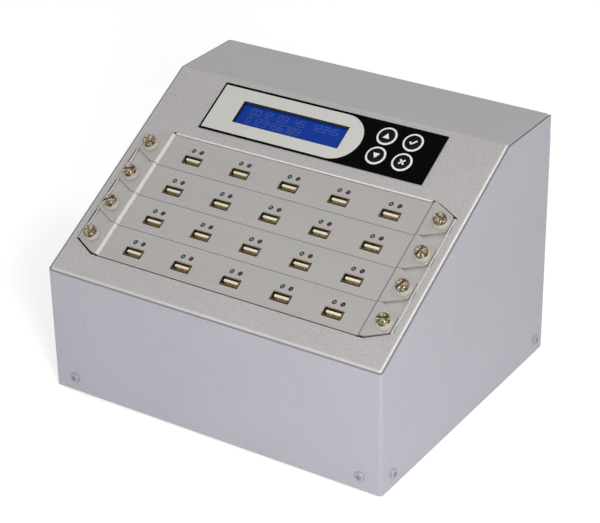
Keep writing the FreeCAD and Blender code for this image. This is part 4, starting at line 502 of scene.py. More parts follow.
def slab(outline, holes, low, high, edge):
    """A flat sheet with holes and softened edges, as a mesh made from a filled curve."""
    curve = bpy.data.curves.new("slab", "CURVE")
    curve.dimensions = "2D"
    curve.fill_mode = "BOTH"
    curve.extrude = (high - low) / 2 - edge
    curve.bevel_depth = edge
    curve.bevel_resolution = 2
    curve.offset = -edge
    for loop in [outline] + [hole[::-1] for hole in holes]:
        spline = curve.splines.new("POLY")
        spline.points.add(len(loop) - 1)
        for point, (x, y) in zip(spline.points, loop):
            point.co = (x, y, 0, 1)
        spline.use_cyclic_u = True
    holder = bpy.data.objects.new("slab", curve)
    mesh = bpy.data.meshes.new_from_object(holder)
    mesh.transform(Matrix.Translation((0, 0, (high + low) / 2)))
    bpy.data.objects.remove(holder)
    bpy.data.curves.remove(curve)
    return mesh


def cut_plane(mesh, place, way, clear_outer=False):
    """Cuts a mesh along a plane, and returns the edges of the cut."""
    cut = bmesh.ops.bisect_plane(mesh, geom=mesh.verts[:] + mesh.edges[:] + mesh.faces[:],
                                 plane_co=place, plane_no=way, clear_outer=clear_outer, dist=1e-7)
    return [item for item in cut["geom_cut"] if isinstance(item, bmesh.types.BMEdge)]


def mark_bends(mesh, flat_ways):
    """Gives the second finish to all faces that look along none of the flat ways; both callers
    make it a brighter copy of the paint, a painted highlight on the bends.
    """
    mesh.normal_update()
    for face in mesh.faces:
        if all(abs(face.normal.dot(way)) < 0.999 for way in flat_ways):
            face.material_index = 1


class Piece:
    """Collects the faces of one piece and makes it an object of the scene."""

    def __init__(self):
        self.mesh = bmesh.new()

    def copy_node(self, node):
        """Takes over a CAD node's faces, with its double points joined."""
        self.mesh.from_mesh(frame["nodes"][node].data)
        bmesh.ops.remove_doubles(self.mesh, verts=self.mesh.verts, dist=SAME_POINT)

    def slab(self, *shape):
        """Adds a flat sheet."""
        mesh = slab(*shape)
        self.mesh.from_mesh(mesh)
        bpy.data.meshes.remove(mesh)

    def loft(self, loops, finish=0, caps=True):
        """Skins a row of equal loops, given from the bottom up."""
        parts = finish if isinstance(finish, list) else [finish] * (len(loops) - 1)
        rings = [[self.mesh.verts.new(point) for point in loop] for loop in loops]
        count = len(rings[0])
        for part, lower, upper in zip(parts, rings, rings[1:]):
            for index in range(count):
                following = (index + 1) % count
                self.mesh.faces.new((lower[index], lower[following], upper[following],
                                     upper[index])).material_index = part
        if caps:
            self.mesh.faces.new(rings[0][::-1]).material_index = parts[0]
            self.mesh.faces.new(rings[-1]).material_index = parts[-1]

    def turned(self, middle, profile, steps, finish=0, closed=False):
        """A turned shape from a profile of (radius, height)."""
        loops = [raised(circle(middle, radius, steps), height) for radius, height in profile]
        if closed:
            loops.append(loops[0])
        self.loft(loops, finish, not closed)

    def block(self, low, high, finish=0, edge=0.1 * MM, corner=None):
        """A box with broken edges."""
        middle = ((low[0] + high[0]) / 2, (low[1] + high[1]) / 2)
        half = ((high[0] - low[0]) / 2, (high[1] - low[1]) / 2)
        corner = corner or edge
        small = rounded_rectangle(middle, half[0] - edge, half[1] - edge,
                                  max(corner - edge, edge * 0.3), 2)
        full = rounded_rectangle(middle, half[0], half[1], corner, 2)
        self.loft([raised(small, low[2]), raised(full, low[2] + edge),
                   raised(full, high[2] - edge), raised(small, high[2])], finish)

    def make_mesh(self, name):
        """Turns the collected faces into a mesh, with all normals outwards."""
        bmesh.ops.recalc_face_normals(self.mesh, faces=self.mesh.faces)
        mesh = bpy.data.meshes.new(name)
        self.mesh.to_mesh(mesh)
        self.mesh.free()
        return mesh

    def build(self, name, finishes, body, matrix=SLOPE, stands_for=(), angle=35):
        """Makes the object, which rides on a body and may replace CAD nodes."""
        mesh = self.make_mesh(name)
        for finish in finishes:
            mesh.materials.append(materials[finish])
        smooth(mesh, angle)
        item = add_object(name, mesh)
        item.matrix_world = matrix
        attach(item, body)
        if stands_for:
            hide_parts(*stands_for)
        return item

    def build_on_module(self, number, name, finishes, node, angle=35):
        """Makes a piece of a port module, which replaces the module's CAD node."""
        self.build(f"{name}_{number}", finishes, f"module_{number}",
                   on_slope(0, module_middle(number)), [f"{node}_{number}"], angle)


def flat_piece(name, finish, shape, stands_for=()):
    """A sheet on the slope that stays with the case."""
    piece = Piece()
    piece.slab(*shape)
    piece.build(name, [finish], "base", stands_for=stands_for)


# Pieces of the port modules, around the middle of a module.

LIP_FLARE = 0.12 * MM
SOCKET_GAP = 0.42 * MM
LAMP_HOLE = 1.7 * MM
SCREW_HOLE = 3.25 * MM
EAR_SLANT = 0.48
SHOULDER_ROUND = 4 * MM
TIP_ROUND = 3 * MM
POST_INSET = 6.35 * MM
POST_RADIUS = 2.5 * MM
STEP_BENDS = {-1: 0.4 * MM, 1: 0.15 * MM}
BEND_SAMPLES = range(-4, 5)
TONGUE_HALF = 5.55 * MM
TONGUE_THICKNESS = 1.84 * MM
CONTACTS = (-3.5, -1.0, 1.0, 3.5)
CONTACT_HALF = 0.8
SPRING_OFFSET = 3.1
SPRING_HALF = 1.1
SPRING = ((0, -1.4), (0.45, -3.4), (0, -7.5))
SLOT_ANGLES = {"left": (-35, 45, 20, -60), "right": (15, 70, 80, -20)}


def port_places(sizes):
    return [(number - PORTS // 2) * sizes.port_pitch for number in range(PORTS)]


def board_top(sizes):
    return -sizes.mouth_depth - sizes.shell_length


def plate_outline(sizes):
    """The port plate's outline, which narrows to the ears' tips."""
    half = sizes.plate_height / 2
    tip_half = half - EAR_SLANT * (sizes.ear_tip - sizes.ear_shoulder)
    corners = []
    for right, up in ((1, 1), (-1, 1), (-1, -1), (1, -1)):
        pair = [(right * sizes.ear_tip, up * tip_half, TIP_ROUND),
                (right * sizes.ear_shoulder, up * half, SHOULDER_ROUND)]
        corners += pair if right * up > 0 else pair[::-1]
    return round_corners(corners)


def plate_holes(sizes):
    """The port plate's holes for sockets, lamps and thumbscrews."""
    grow = LIP_FLARE + SOCKET_GAP
    holes = []
    for x in port_places(sizes):
        holes.append(rounded_rectangle((x, -sizes.port_drop), sizes.shell_width / 2 + grow,
                                       sizes.shell_height / 2 + grow, 0.5 * MM))
        for side in (-1, 1):
            holes.append(circle((x + side * sizes.lamp_spacing / 2, sizes.lamp_rise),
                                LAMP_HOLE, 24))
    return holes + [circle((side * sizes.screw_offset, 0), SCREW_HOLE, 24) for side in (-1, 1)]


def bend_plate(mesh, sizes):
    """Lifts the plate's ends by a stepped bend, and gives the right step's face a darker copy of
    the plate paint as painted shade.
    """
    for side, bend in STEP_BENDS.items():
        for start in (sizes.step_inner, sizes.step_outer):
            for step in range(-2, 3):
                cut_plane(mesh, ACROSS * (side * (start + bend * step / 2)), ACROSS)
    rise = sizes.port_level + sizes.ear_level
    run = sizes.step_outer - sizes.step_inner
    for vertex in mesh.verts:
        reach = abs(vertex.co.x) - sizes.step_inner
        bend = STEP_BENDS[math.copysign(1, vertex.co.x)]
        if reach > run + bend:
            vertex.co.z += rise
        elif reach >= -bend:
            lifts = [min(1.0, max(0.0, (reach + offset * bend / 4) / run))
                     for offset in BEND_SAMPLES]
            vertex.co.z += rise * sum(lifts) / len(lifts)
    mesh.normal_update()
    # Faces of the right step get the third finish, the painted shade.
    for face in mesh.faces:
        beyond = face.calc_center_median().x > sizes.step_inner - MM
        if beyond and face.normal.x < -0.2 and face.normal.z > 0.1:
            face.material_index = 2


def port_plate(sizes, number):
    """A port plate: one sheet with a stepped bend at each end, and four posts below it."""
    low = -sizes.port_level - sizes.plate_thickness
    piece = Piece()
    piece.slab(plate_outline(sizes), plate_holes(sizes), low, -sizes.port_level,
               sizes.plate_edge)
    bend_plate(piece.mesh, sizes)
    foot = board_top(sizes)
    for x in (POST_INSET - sizes.step_inner, -1.5 * sizes.port_pitch, 1.5 * sizes.port_pitch,
              sizes.step_inner - POST_INSET):
        piece.turned((x, 0), [(POST_RADIUS - 0.2 * MM, foot), (POST_RADIUS, foot + 0.2 * MM),
                              (POST_RADIUS, low + 0.1 * MM)], 6, 1)
    piece.build_on_module(number, "module_plate", ["plate_paint", "zinc_steel", "step_painted_shade"],
                          "port_plate")


def socket(piece, sizes, x):
    """One USB-A socket: shell with flared lips and springs, insulator, tongue and contacts."""
    metal, plastic, gold = 0, 1, 2
    y = -sizes.port_drop
    half_width, half_height = sizes.shell_width / 2, sizes.shell_height / 2
    wall = sizes.shell_wall
    top = -sizes.mouth_depth
    low = board_top(sizes)
    floor = low + 4 * MM
    flare = LIP_FLARE - 0.05 * MM
    bow = 0.75 * MM
    bow_foot = top - 0.85 * MM
    quarter = [math.pi / 2 * step / 3 for step in range(4)]

    def ring(grow, level):
        return raised(rounded_rectangle((x, y), half_width + grow, half_height + grow,
                                        0.7 * MM + grow, 4), level)

    outside = [ring(flare * (1 - math.cos(angle)), bow_foot + bow * math.sin(angle))
               for angle in quarter]
    inside = [ring(-wall + flare * (1 - math.sin(angle)),
                   top - 0.02 * MM - bow * (1 - math.cos(angle))) for angle in quarter]
    piece.loft([ring(0, low)] + outside
               + [ring(LIP_FLARE, top - 0.05 * MM), ring(LIP_FLARE - 0.06 * MM, top)]
               + inside + [ring(-wall, floor)], metal)
    for side in (-1, 1):
        for up in (-1, 1):
            face = y + up * (half_height - wall)
            piece.loft([[Vector((x + (side * SPRING_OFFSET + reach) * MM, face - up * inward,
                                 top + level)) for inward, level in in_mm(*SPRING)]
                        for reach in (-SPRING_HALF, SPRING_HALF)], metal)
    inset = wall + 0.1 * MM
    piece.block((x - half_width + inset, y - half_height + inset, low + 0.1 * MM),
                (x + half_width - inset, y + half_height - inset, floor + 0.05 * MM), plastic)
    tongue_low = y - 0.02 * MM
    tongue_top = top - 1.3 * MM
    piece.block((x - TONGUE_HALF, tongue_low, floor - 0.5 * MM),
                (x + TONGUE_HALF, tongue_low + TONGUE_THICKNESS, tongue_top), plastic,
                0.22 * MM, 0.3 * MM)
    for contact in CONTACTS:
        piece.block((x + (contact - CONTACT_HALF) * MM, tongue_low - 0.2 * MM, floor),
                    (x + (contact + CONTACT_HALF) * MM, tongue_low + 0.1 * MM,
                     tongue_top - 0.5 * MM), gold, 0.05 * MM)


def lamps(sizes, number, name, side):
    """A row of indicator lamps with their legs."""
    piece = Piece()
    radius = sizes.lamp_radius
    dome = -sizes.port_level + 0.1 * MM - radius
    low = dome - 3.6 * MM
    rim = 1.9 * MM
    rim_top = low + MM
    leg_reach = 1.27 * MM
    leg_half = 0.25 * MM
    y = sizes.lamp_rise
    for port in port_places(sizes):
        x = port + side * sizes.lamp_spacing / 2
        piece.turned((x, y), [(rim, low), (rim, rim_top), (radius, rim_top), (radius, dome)]
                     + arc((0, dome), radius, 0, 90, 9)[1:-1], 24)
        for leg in (x - leg_reach, x + leg_reach):
            piece.block((leg - leg_half, y - leg_half, board_top(sizes)),
                        (leg + leg_half, y + leg_half, low), 1, 0.04 * MM)
    piece.build_on_module(number, f"{name}_lamps", [f"lamp_{name}", "lamp_leg"],
                          f"{name}_leds", 60)


def collar_pair(sizes, number):
    """The two pale collars that the thumbscrews turn in, with fine ridges around them."""
    piece = Piece()
    low, seat = -sizes.port_level, sizes.ear_level
    body = in_mm((3.2, 0), (5.8, 0), (5.8, 0.35), (5.66, 0.5), (5.25, 1.6), (5.1, 1.8),
                 (4.9, 1.9), (2.2, 1.9), (2.0, 1.7))
    profile = [(2.0 * MM, low), (3.15 * MM, low)]
    profile += [(radius, seat + rise) for radius, rise in body]
    ridges = 36
    ridge_half = 0.18 * MM
    for side in (-1, 1):
        place = Vector((side * sizes.screw_offset, 0, 0))
        piece.turned(place, profile, 48, closed=True)
        for step in range(ridges):
            angle = 2 * math.pi * step / ridges
            spoke = Vector((math.cos(angle), math.sin(angle), 0))
            half = Vector((-spoke.y, spoke.x, 0)) * ridge_half
            loops = []
            for radius, rise in in_mm((5.60, 0.55), (5.24, 1.5)):
                root = place + spoke * (radius - 0.2 * MM) + UPRIGHT * (seat + rise)
                crest = root + spoke * 0.3 * MM
                loops.append([root - half, crest - half * 0.4, crest + half * 0.4, root + half])
            piece.loft(loops)
    piece.build_on_module(number, "collars", ["collar_metal"], "screw_collars")


def knob(sizes, side_name, number):
    """A thumbscrew: head with rounded rim and driver slot, and its shaft."""
    side = -1 if side_name == "left" else 1
    radius, rim = sizes.knob_radius, sizes.knob_rim
    seat = sizes.ear_level + 2.0 * MM
    top = seat + sizes.knob_height
    shaft = in_mm((1.6, -7), (1.95, -6.6)) + [(1.95 * MM, seat)]
    edge = 0.25 * MM
    slot_half, slot_depth = 0.65 * MM, 1.0 * MM
    piece = Piece()
    piece.turned((0, 0), shaft + [(radius - edge, seat), (radius, seat + edge)]
                 + arc((radius - rim, top - rim), rim, 0, 90, 8), 64)
    turn = Matrix.Rotation(math.radians(SLOT_ANGLES[side_name][number - 1]), 4, "Z")
    name = f"thumbscrew_{side_name}_{number}"
    item = piece.build(f"knob_{side_name}_{number}", ["knob_metal"], name,
                       on_slope(side * sizes.screw_offset, module_middle(number)) @ turn,
                       [name], 40)
    cutter = Piece()
    cutter.block((-3 * radius, -slot_half, top - slot_depth),
                 (3 * radius, slot_half, top + slot_depth), 0, 0.08 * MM)
    carve(item, cutter)


def carve(item, cutter):
    """Takes a cutter in the item's own frame away from it."""
    mesh = cutter.make_mesh("cutter")
    tool = add_object("cutter", mesh)
    tool.matrix_world = item.matrix_world
    modifier = item.modifiers.new("slot", "BOOLEAN")
    modifier.operation = "DIFFERENCE"
    modifier.solver = "EXACT"
    modifier.object = tool
    bpy.context.view_layer.update()
    graph = bpy.context.evaluated_depsgraph_get()
    carved = bpy.data.meshes.new_from_object(item.evaluated_get(graph))
    item.modifiers.clear()
    old = item.data
    item.data = carved
    carved.name = item.name
    smooth(carved, 40)
    bpy.data.meshes.remove(old)
    bpy.data.objects.remove(tool)
    bpy.data.meshes.remove(mesh)


# Operators.

DONE = {"FINISHED"}


class DuplicatorStep(bpy.types.Operator):
    """A step that can be undone."""
    bl_options = {"REGISTER", "UNDO"}


FINISH_OF = {
    "case_wrap": "wrap_paint", "base_tray": "zinc_steel", "rear_panel": "side_paint",
    "rubber_feet": "foot_rubber", "case_screws": "screw_paint", "hub_board": "hub_green",
    "keypad_board": "key_green", "lcd_frame": "frame_black", "lcd_board": "lcd_green",
    "lcd_screen": "screen_blue", "controller_board": "floor_green",
    "power_supply": "floor_green", "display_cable": "cable_grey", "hub_cable": "cable_grey",
    "fan_frame": "black_plastic", "fan_rotor": "black_plastic",
    "power_inlet": "black_plastic", "switch_housing": "black_plastic",
    "switch_rocker": "black_plastic",
    **{f"port_board_{number}": "port_green" for number in MODULE_NUMBERS},
}
SOFT_EDGED = ("case_screws", "rubber_feet", "power_inlet", "switch_housing", "switch_rocker")


def give(node, finish):
    """Puts a finish into all of a CAD node's material slots."""
    item = frame["nodes"][node]
    if not item.material_slots:
        item.data.materials.append(None)
    for slot in item.material_slots:
        slot.link = "OBJECT"
        slot.material = materials[finish]


def soften(node, width):
    """Rounds a CAD node's sharp edges with modifiers, without touching its mesh."""
    item = frame["nodes"][node]
    item.modifiers.new("weld", "WELD").merge_threshold = SAME_POINT
    bevel = item.modifiers.new("edges", "BEVEL")
    bevel.width = width
    bevel.segments = 2
    bevel.limit_method = "ANGLE"
    bevel.angle_limit = math.radians(30)
    bevel.harden_normals = False
    weigh_normals(item)


class DUPLICATOR_OT_finishes(DuplicatorStep):
    """Makes the finishes and gives them to the CAD pieces"""
    bl_idname = "duplicator.finishes"
    bl_label = "Finishes"

    def execute(self, context):
        make_materials(context.scene.duplicator_colours)
        for node, finish in FINISH_OF.items():
            give(node, finish)
        for node in SOFT_EDGED:
            soften(node, 0.15 * MM)
        return DONE


WINDOW_MIDDLE = (-23.5 * MM, 154.5 * MM)
SHEET_REACH = 1.5 * MM
TIP_INSET = 8 * MM
TOP_EDGE = 3 * MM
RAIL_SETBACK = 0.3 * MM
NEAR = 0.3 * MM
SAME_LINE = 0.01 * MM


class DUPLICATOR_OT_cover(DuplicatorStep):
    """Makes the top cover with bent side edges and a rolled edge above the port plates"""
    bl_idname = "duplicator.cover"
    bl_label = "Top cover"

    def execute(self, context):
        sizes = context.scene.duplicator_sizes
        piece = Piece()
        piece.copy_node("top_cover")
        mesh = piece.mesh
        bmesh.ops.dissolve_limit(mesh, angle_limit=math.radians(1), verts=mesh.verts,
                                 edges=mesh.edges)
        below = module_middle(MODULE_NUMBERS[0]) - sizes.plate_height / 2
        above = module_middle(MODULE_NUMBERS[-1]) + sizes.plate_height / 2
        for vertex in mesh.verts:
            self.fit_edges(vertex, sizes, below, above)
        for vertex in mesh.verts:
            self.fit_corners(vertex, sizes, below, above)
        rolled = [edge for edge in mesh.edges if self.is_rolled(edge, above)]
        roll = bmesh.ops.bevel(mesh, geom=rolled, offset=sizes.rolled_edge, segments=5,
                               profile=0.5, affect="EDGES", offset_type="OFFSET",
                               clamp_overlap=False)
        # Bend faces get the brighter copy of the case paint, a painted highlight.
        mark_bends(mesh, [ACROSS, Vector((0, 1, 0)), UPRIGHT, up_slope, out_of_slope])
        # The rolled edge gets the much brighter copy of the case paint, a painted highlight.
        for face in roll["faces"]:
            face.material_index = 2
        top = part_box("top_cover")[1][2]
        for face in mesh.faces:
            if face.calc_center_median().z > top - TOP_EDGE and face.normal.z > 0.3:
                face.material_index = 3
        weigh_normals(piece.build(
            "cover", ["case_paint", "edge_painted_highlight", "rolled_painted_highlight", "top_paint"], "base",
            Matrix.Identity(4), ["top_cover"], 30))
        return DONE

    def fit_edges(self, vertex, sizes, below, above):
        """Moves the opening's upper edge to the plates, and its lower one away from them."""
        place = SLOPE_INVERSE @ vertex.co
        if abs(place.z) > SHEET_REACH or abs(place.x) > sizes.ear_shoulder + MM:
            return
        if abs(place.y - above) < MM and abs(place.x) < sizes.step_inner + NEAR:
            vertex.co -= up_slope * (place.y - above - sizes.rolled_gap)
            if place.z < -0.5 * MM:
                vertex.co -= out_of_slope * sizes.rolled_depth
        elif abs(place.y - below) < MM:
            vertex.co -= up_slope * (sizes.front_gap - (below - place.y))

    def fit_corners(self, vertex, sizes, below, above):
        """Lowers the display's opening, and widens the large one at two of its tips."""
        place = SLOPE_INVERSE @ vertex.co
        if -1.1 * MM < place.z < 0.1 * MM and self.is_window_corner(place, sizes):
            vertex.co -= up_slope * sizes.window_drop
        if abs(place.z) > SHEET_REACH or abs(abs(place.x) - sizes.lip_outer) > NEAR:
            return
        if abs(place.y - (below + TIP_INSET)) < 2 * MM and place.x < 0:
            vertex.co.x -= sizes.corner_gap
        elif abs(place.y - (above - TIP_INSET)) < 2 * MM and place.x > 0:
            vertex.co += up_slope * sizes.corner_gap / 2

    def is_window_corner(self, place, sizes):
        """Whether a point is a corner of the display's opening."""
        x, y = (abs(place[axis] - WINDOW_MIDDLE[axis]) for axis in (0, 1))
        return (abs(x - sizes.window_width / 2 - sizes.window_margin) < 0.1 * MM
                and abs(y - sizes.window_height / 2 - sizes.window_margin) < 0.1 * MM)

    def is_rolled(self, edge, above):
        """Whether an edge is the outer one along the upper side of the module opening."""
        start, end = (SLOPE_INVERSE @ vertex.co for vertex in edge.verts)
        return (len(edge.link_faces) == 2
                and abs(start.z) <= SAME_LINE and abs(end.z) <= SAME_LINE
                and abs(start.y - end.y) <= SAME_LINE and 0 < start.y - above < 2 * MM
                and abs(start.x - end.x) > 20 * MM)


class DUPLICATOR_OT_rails(DuplicatorStep):
    """Makes the rails under the plates' ears and the rounded lips at their outer ends"""
    bl_idname = "duplicator.rails"
    bl_label = "Rails"

    def execute(self, context):
        sizes = context.scene.duplicator_sizes
        self.rails(sizes)
        self.lips(sizes)
        return DONE

    def rails(self, sizes):
        """The CAD rails, cut along the slanted edges of the outer ears."""
        piece = Piece()
        piece.copy_node("seat_rails")
        slant = Vector((EAR_SLANT, 1)).normalized()
        for side in (-1, 1):
            for up, number in ((-1, MODULE_NUMBERS[0]), (1, MODULE_NUMBERS[-1])):
                shoulder = Vector((side * sizes.ear_shoulder,
                                   module_middle(number) + up * sizes.plate_height / 2, 0))
                way = Vector((side * slant.x, up * slant.y, 0))
                rim = cut_plane(piece.mesh, SLOPE @ (shoulder - way * RAIL_SETBACK),
                                SLOPE.to_3x3() @ way, True)
                bmesh.ops.holes_fill(piece.mesh, edges=rim)
        weigh_normals(piece.build("rails", ["seat_paint"], "base",
                                  Matrix.Identity(4), ["seat_rails"], 30))

    def lips(self, sizes):
        """The rails' lips, with notches between the left ears and beside the right ones."""
        piece = Piece()
        middles = [module_middle(number) for number in MODULE_NUMBERS]
        between = [(low + high) / 2 for low, high in zip(middles, middles[1:])]
        beside = [place - sizes.lip_notch_drop for place in middles]
        reach = (sizes.plate_height / 2 - EAR_SLANT * (sizes.lip_outer - sizes.ear_shoulder)
                 + sizes.lip_overrun)
        for side, notches, half, depth in (
                (-1, between, sizes.lip_notch_left / 2, sizes.lip_notch_depth),
                (1, beside, sizes.lip_notch_right / 2, sizes.lip_notch_right_depth)):
            outer = sizes.lip_outer
            slope_run = 0.1 * MM
            stations = [(middles[0] - reach, outer)]
            for place in notches:
                stations += [(place - half + slope_run, outer), (place - half, outer - depth),
                             (place + half + slope_run, outer - depth), (place + half, outer)]
            stations.append((middles[-1] + reach, outer))
            piece.loft([self.section(side, edge, sizes, place) for place, edge in stations])
        # The lips' rounded faces get the brighter copy of the case paint, a painted highlight.
        mark_bends(piece.mesh, [ACROSS, Vector((0, 1, 0)), UPRIGHT])
        piece.build("rail_lips", ["seat_paint", "edge_painted_highlight"], "base")

    def section(self, side, outer, sizes, place):
        """A lip's outline across its length, with rounded upper corners."""
        edge = sizes.lip_edge
        centre = sizes.lip_level - edge
        outline = [(sizes.lip_inner, -sizes.port_level), (outer, -sizes.port_level)]
        outline += arc((outer - edge, centre), edge, 0, 90, 4)
        outline += arc((sizes.lip_inner + edge, centre), edge, 90, 180, 4)
        return [Vector((side * x, place, height)) for x, height in outline]


class DUPLICATOR_OT_port_plates(DuplicatorStep):
    """Makes the four port plates"""
    bl_idname = "duplicator.port_plates"
    bl_label = "Port plates"

    def execute(self, context):
        for number in MODULE_NUMBERS:
            port_plate(context.scene.duplicator_sizes, number)
        return DONE


class DUPLICATOR_OT_sockets(DuplicatorStep):
    """Makes the USB-A sockets of the four modules"""
    bl_idname = "duplicator.sockets"
    bl_label = "USB sockets"

    def execute(self, context):
        sizes = context.scene.duplicator_sizes
        for number in MODULE_NUMBERS:
            piece = Piece()
            for x in port_places(sizes):
                socket(piece, sizes, x)
            piece.build_on_module(number, "sockets",
                                  ["socket_metal", "socket_plastic", "contact_gold"],
                                  "usb_sockets")
        return DONE


class DUPLICATOR_OT_lamps(DuplicatorStep):
    """Makes the green and red lamps of the four modules"""
    bl_idname = "duplicator.lamps"
    bl_label = "Lamps"

    def execute(self, context):
        for number in MODULE_NUMBERS:
            lamps(context.scene.duplicator_sizes, number, "green", -1)
            lamps(context.scene.duplicator_sizes, number, "red", 1)
        return DONE


class DUPLICATOR_OT_thumbscrews(DuplicatorStep):
    """Makes the eight thumbscrews and their collars"""
    bl_idname = "duplicator.thumbscrews"
    bl_label = "Thumbscrews"

    def execute(self, context):
        sizes = context.scene.duplicator_sizes
        for number in MODULE_NUMBERS:
            collar_pair(sizes, number)
            for side_name in SLOT_ANGLES:
                knob(sizes, side_name, number)
        return DONE


KEYS = ("key_up", "key_down", "key_enter", "key_cancel")
KEY_GAP = 0.3 * MM
LINING = (-1.55 * MM, -0.03 * MM, 0.02 * MM)
PRINT_THICKNESS = 0.04 * MM
PRINT_RIGHT = 31.2 * MM
PRINT_DROP = 0.35 * MM


class DUPLICATOR_OT_label(DuplicatorStep):
    """Makes the control label, its white print and the dark lining of its window"""
    bl_idname = "duplicator.label"
    bl_label = "Control label"

    def execute(self, context):
        sizes = context.scene.duplicator_sizes
        border = sizes.label_border
        bottom = sizes.label_bottom
        top = sizes.label_thickness
        window = self.window(sizes)
        film = rounded_rectangle((0, bottom + sizes.label_height / 2), sizes.label_width / 2,
                                 sizes.label_height / 2, 0.15 * MM, 2)
        keys = [circle(key_place(name), sizes.key_radius + KEY_GAP, 64) for name in KEYS]
        flat_piece("label_sheet", "label_black",
                   (film, [window] + keys, 0, top, 0.05 * MM), ["control_overlay"])
        opening = self.window(sizes, sizes.window_margin - 0.1 * MM)
        flat_piece("window_lining", "frame_black",
                   (opening, [self.window(sizes, 0, sizes.window_shade)], *LINING))
        left = -sizes.label_width / 2 + border
        low = bottom + border
        high = bottom + sizes.label_height - border - PRINT_DROP
        radius = (high - low) / 2
        outline = [(left, high), (left, low)]
        outline += arc((PRINT_RIGHT - radius, (low + high) / 2), radius, -90, 90, 40)
        flat_piece("label_print", "label_white",
                   (outline, [window], top, top + PRINT_THICKNESS, 0.01 * MM))
        return DONE

    def window(self, sizes, margin=0.0, shade=0.0):
        """The display window's outline, with a margin around it or a shade in its top."""
        middle = (WINDOW_MIDDLE[0] + shade / 4, WINDOW_MIDDLE[1] - sizes.window_drop - shade / 2)
        return rounded_rectangle(middle, sizes.window_width / 2 + margin - shade / 4,
                                 sizes.window_height / 2 + margin - shade / 2, 0.1 * MM, 1)


SIGNS = {
    "key_up": [[(-2.45, -1.9), (2.45, -1.9), (0, 2.4)]],
    "key_down": [[(0, -2.4), (2.45, 1.9), (-2.45, 1.9)]],
    "key_enter": [[(-2.3, 0.1), (-0.6, -1.6)], [(-0.9, -1.5), (2.4, 1.8)]],
    "key_cancel": [[(-1.8, -1.8), (1.8, 1.8)], [(-1.8, 1.8), (1.8, -1.8)]],
}
STROKE_HALF = 0.6


class DUPLICATOR_OT_keys(DuplicatorStep):
    """Makes the four round keys with their signs"""
    bl_idname = "duplicator.keys"
    bl_label = "Keys"

    def execute(self, context):
        sizes = context.scene.duplicator_sizes
        black, white = 0, 1
        top = 0.7 * MM
        edge = 0.3 * MM
        field = top - 0.03 * MM
        outer = sizes.key_radius
        inner = outer + 0.05 * MM - sizes.key_ring
        stem = in_mm((2.5, -3.55), (2.5, -1.95))
        flange = in_mm((7.9, -1.95), (7.9, -1.15))
        profile = stem + flange + [(outer, flange[-1][1])]
        profile += arc((outer - edge, top - edge), edge, 0, 90, 3)
        profile += [(inner, top), (inner - 0.05 * MM, field), (0.4 * MM, field)]
        for name in KEYS:
            piece = Piece()
            piece.turned((0, 0), profile, 64, [black] * 5 + [white] * 4 + [black] * 2)
            for points in SIGNS[name]:
                points = in_mm(*(self.stroke(*points) if len(points) == 2 else points))
                piece.loft([raised(points, top - 0.05 * MM), raised(points, top + 0.02 * MM)],
                           white)
            piece.build(f"{name}_cap", ["key_plastic", "key_white"], name,
                        on_slope(*key_place(name)), [name])
        return DONE

    def stroke(self, start, end):
        """A stroke's outline from its two ends."""
        start, end = Vector(start), Vector(end)
        along = (end - start).normalized()
        side = Vector((-along.y, along.x)) * STROKE_HALF
        return [start - side, end - side, end + side, start + side]


# The display's characters: each bar's ends in steps of its width and half its height.

BARS = {"a": (0, 2, 1, 2), "b": (1, 1, 1, 2), "c": (1, 0, 1, 1), "d": (0, 0, 1, 0),
        "e": (0, 0, 0, 1), "f": (0, 1, 0, 2), "g": (0, 1, 1, 1)}
BARS_OF = {
    "0": "abcdef", "1": "bc", "2": "abged", "3": "abgcd", "4": "fgbc",
    "5": "afgcd", "6": "afgedc", "7": "abc", "8": "abcdefg", "9": "abcdfg",
}
ROWS = ((154.6 * MM, "0012 03 45 12345"), (147.5 * MM, "0123456789"))
FIRST_COLUMN = WINDOW_MIDDLE[0] - 33.6 * MM


class DUPLICATOR_OT_display(DuplicatorStep):
    """Makes the plain numbers that the display shows"""
    bl_idname = "duplicator.display"
    bl_label = "Display"

    def execute(self, context):
        piece = Piece()
        low, high, edge = -1.65 * MM, -1.57 * MM, 0.02 * MM
        width, half_height, bar_half, pitch = 2.9 * MM, 2.45 * MM, 0.21 * MM, 4.35 * MM
        for row, text in ROWS:
            for column, sign in enumerate(text):
                left = FIRST_COLUMN + column * pitch
                for bar in BARS_OF.get(sign, ""):
                    x0, y0, x1, y1 = BARS[bar]
                    piece.block(
                        (left + x0 * width - bar_half, row + y0 * half_height - bar_half, low),
                        (left + x1 * width + bar_half, row + y1 * half_height + bar_half, high),
                        0, edge)
        piece.build("display_numbers", ["digit_blue"], "base")
        return DONE


# Each light's place, the point that it looks at, its width, height and power.

LIGHTS = {
    "key_light": ((1.25, 0.08, 1.45), (0, 0, 0.1), 0.5, 0.5, 5.4),
    "near_light": ((0.52, -0.62, 0.5), (0.05, -0.05, 0.08), 0.17, 0.17, 3.9),
    "front_light": ((-0.95, -1.7, 1.0), (0, 0, 0.1), 0.6, 0.5, 2.8),
}
FLOOR_REACH = 6.0
FLOOR_TONE = 0.86
FLOOR_GLOW = 0.52
WORLD_STRENGTH = 0.42


def shown_only(tree):
    """Adds up the rays that see the stage itself: camera, glossy and transmission rays."""
    rays = add_node(tree, "LightPath")
    total = rays["Is Camera Ray"]
    for kind in ("Is Glossy Ray", "Is Transmission Ray"):
        total = add_node(tree, "Math", {0: total, 1: rays[kind]}, operation="ADD",
                         use_clamp=True)["Value"]
    return total


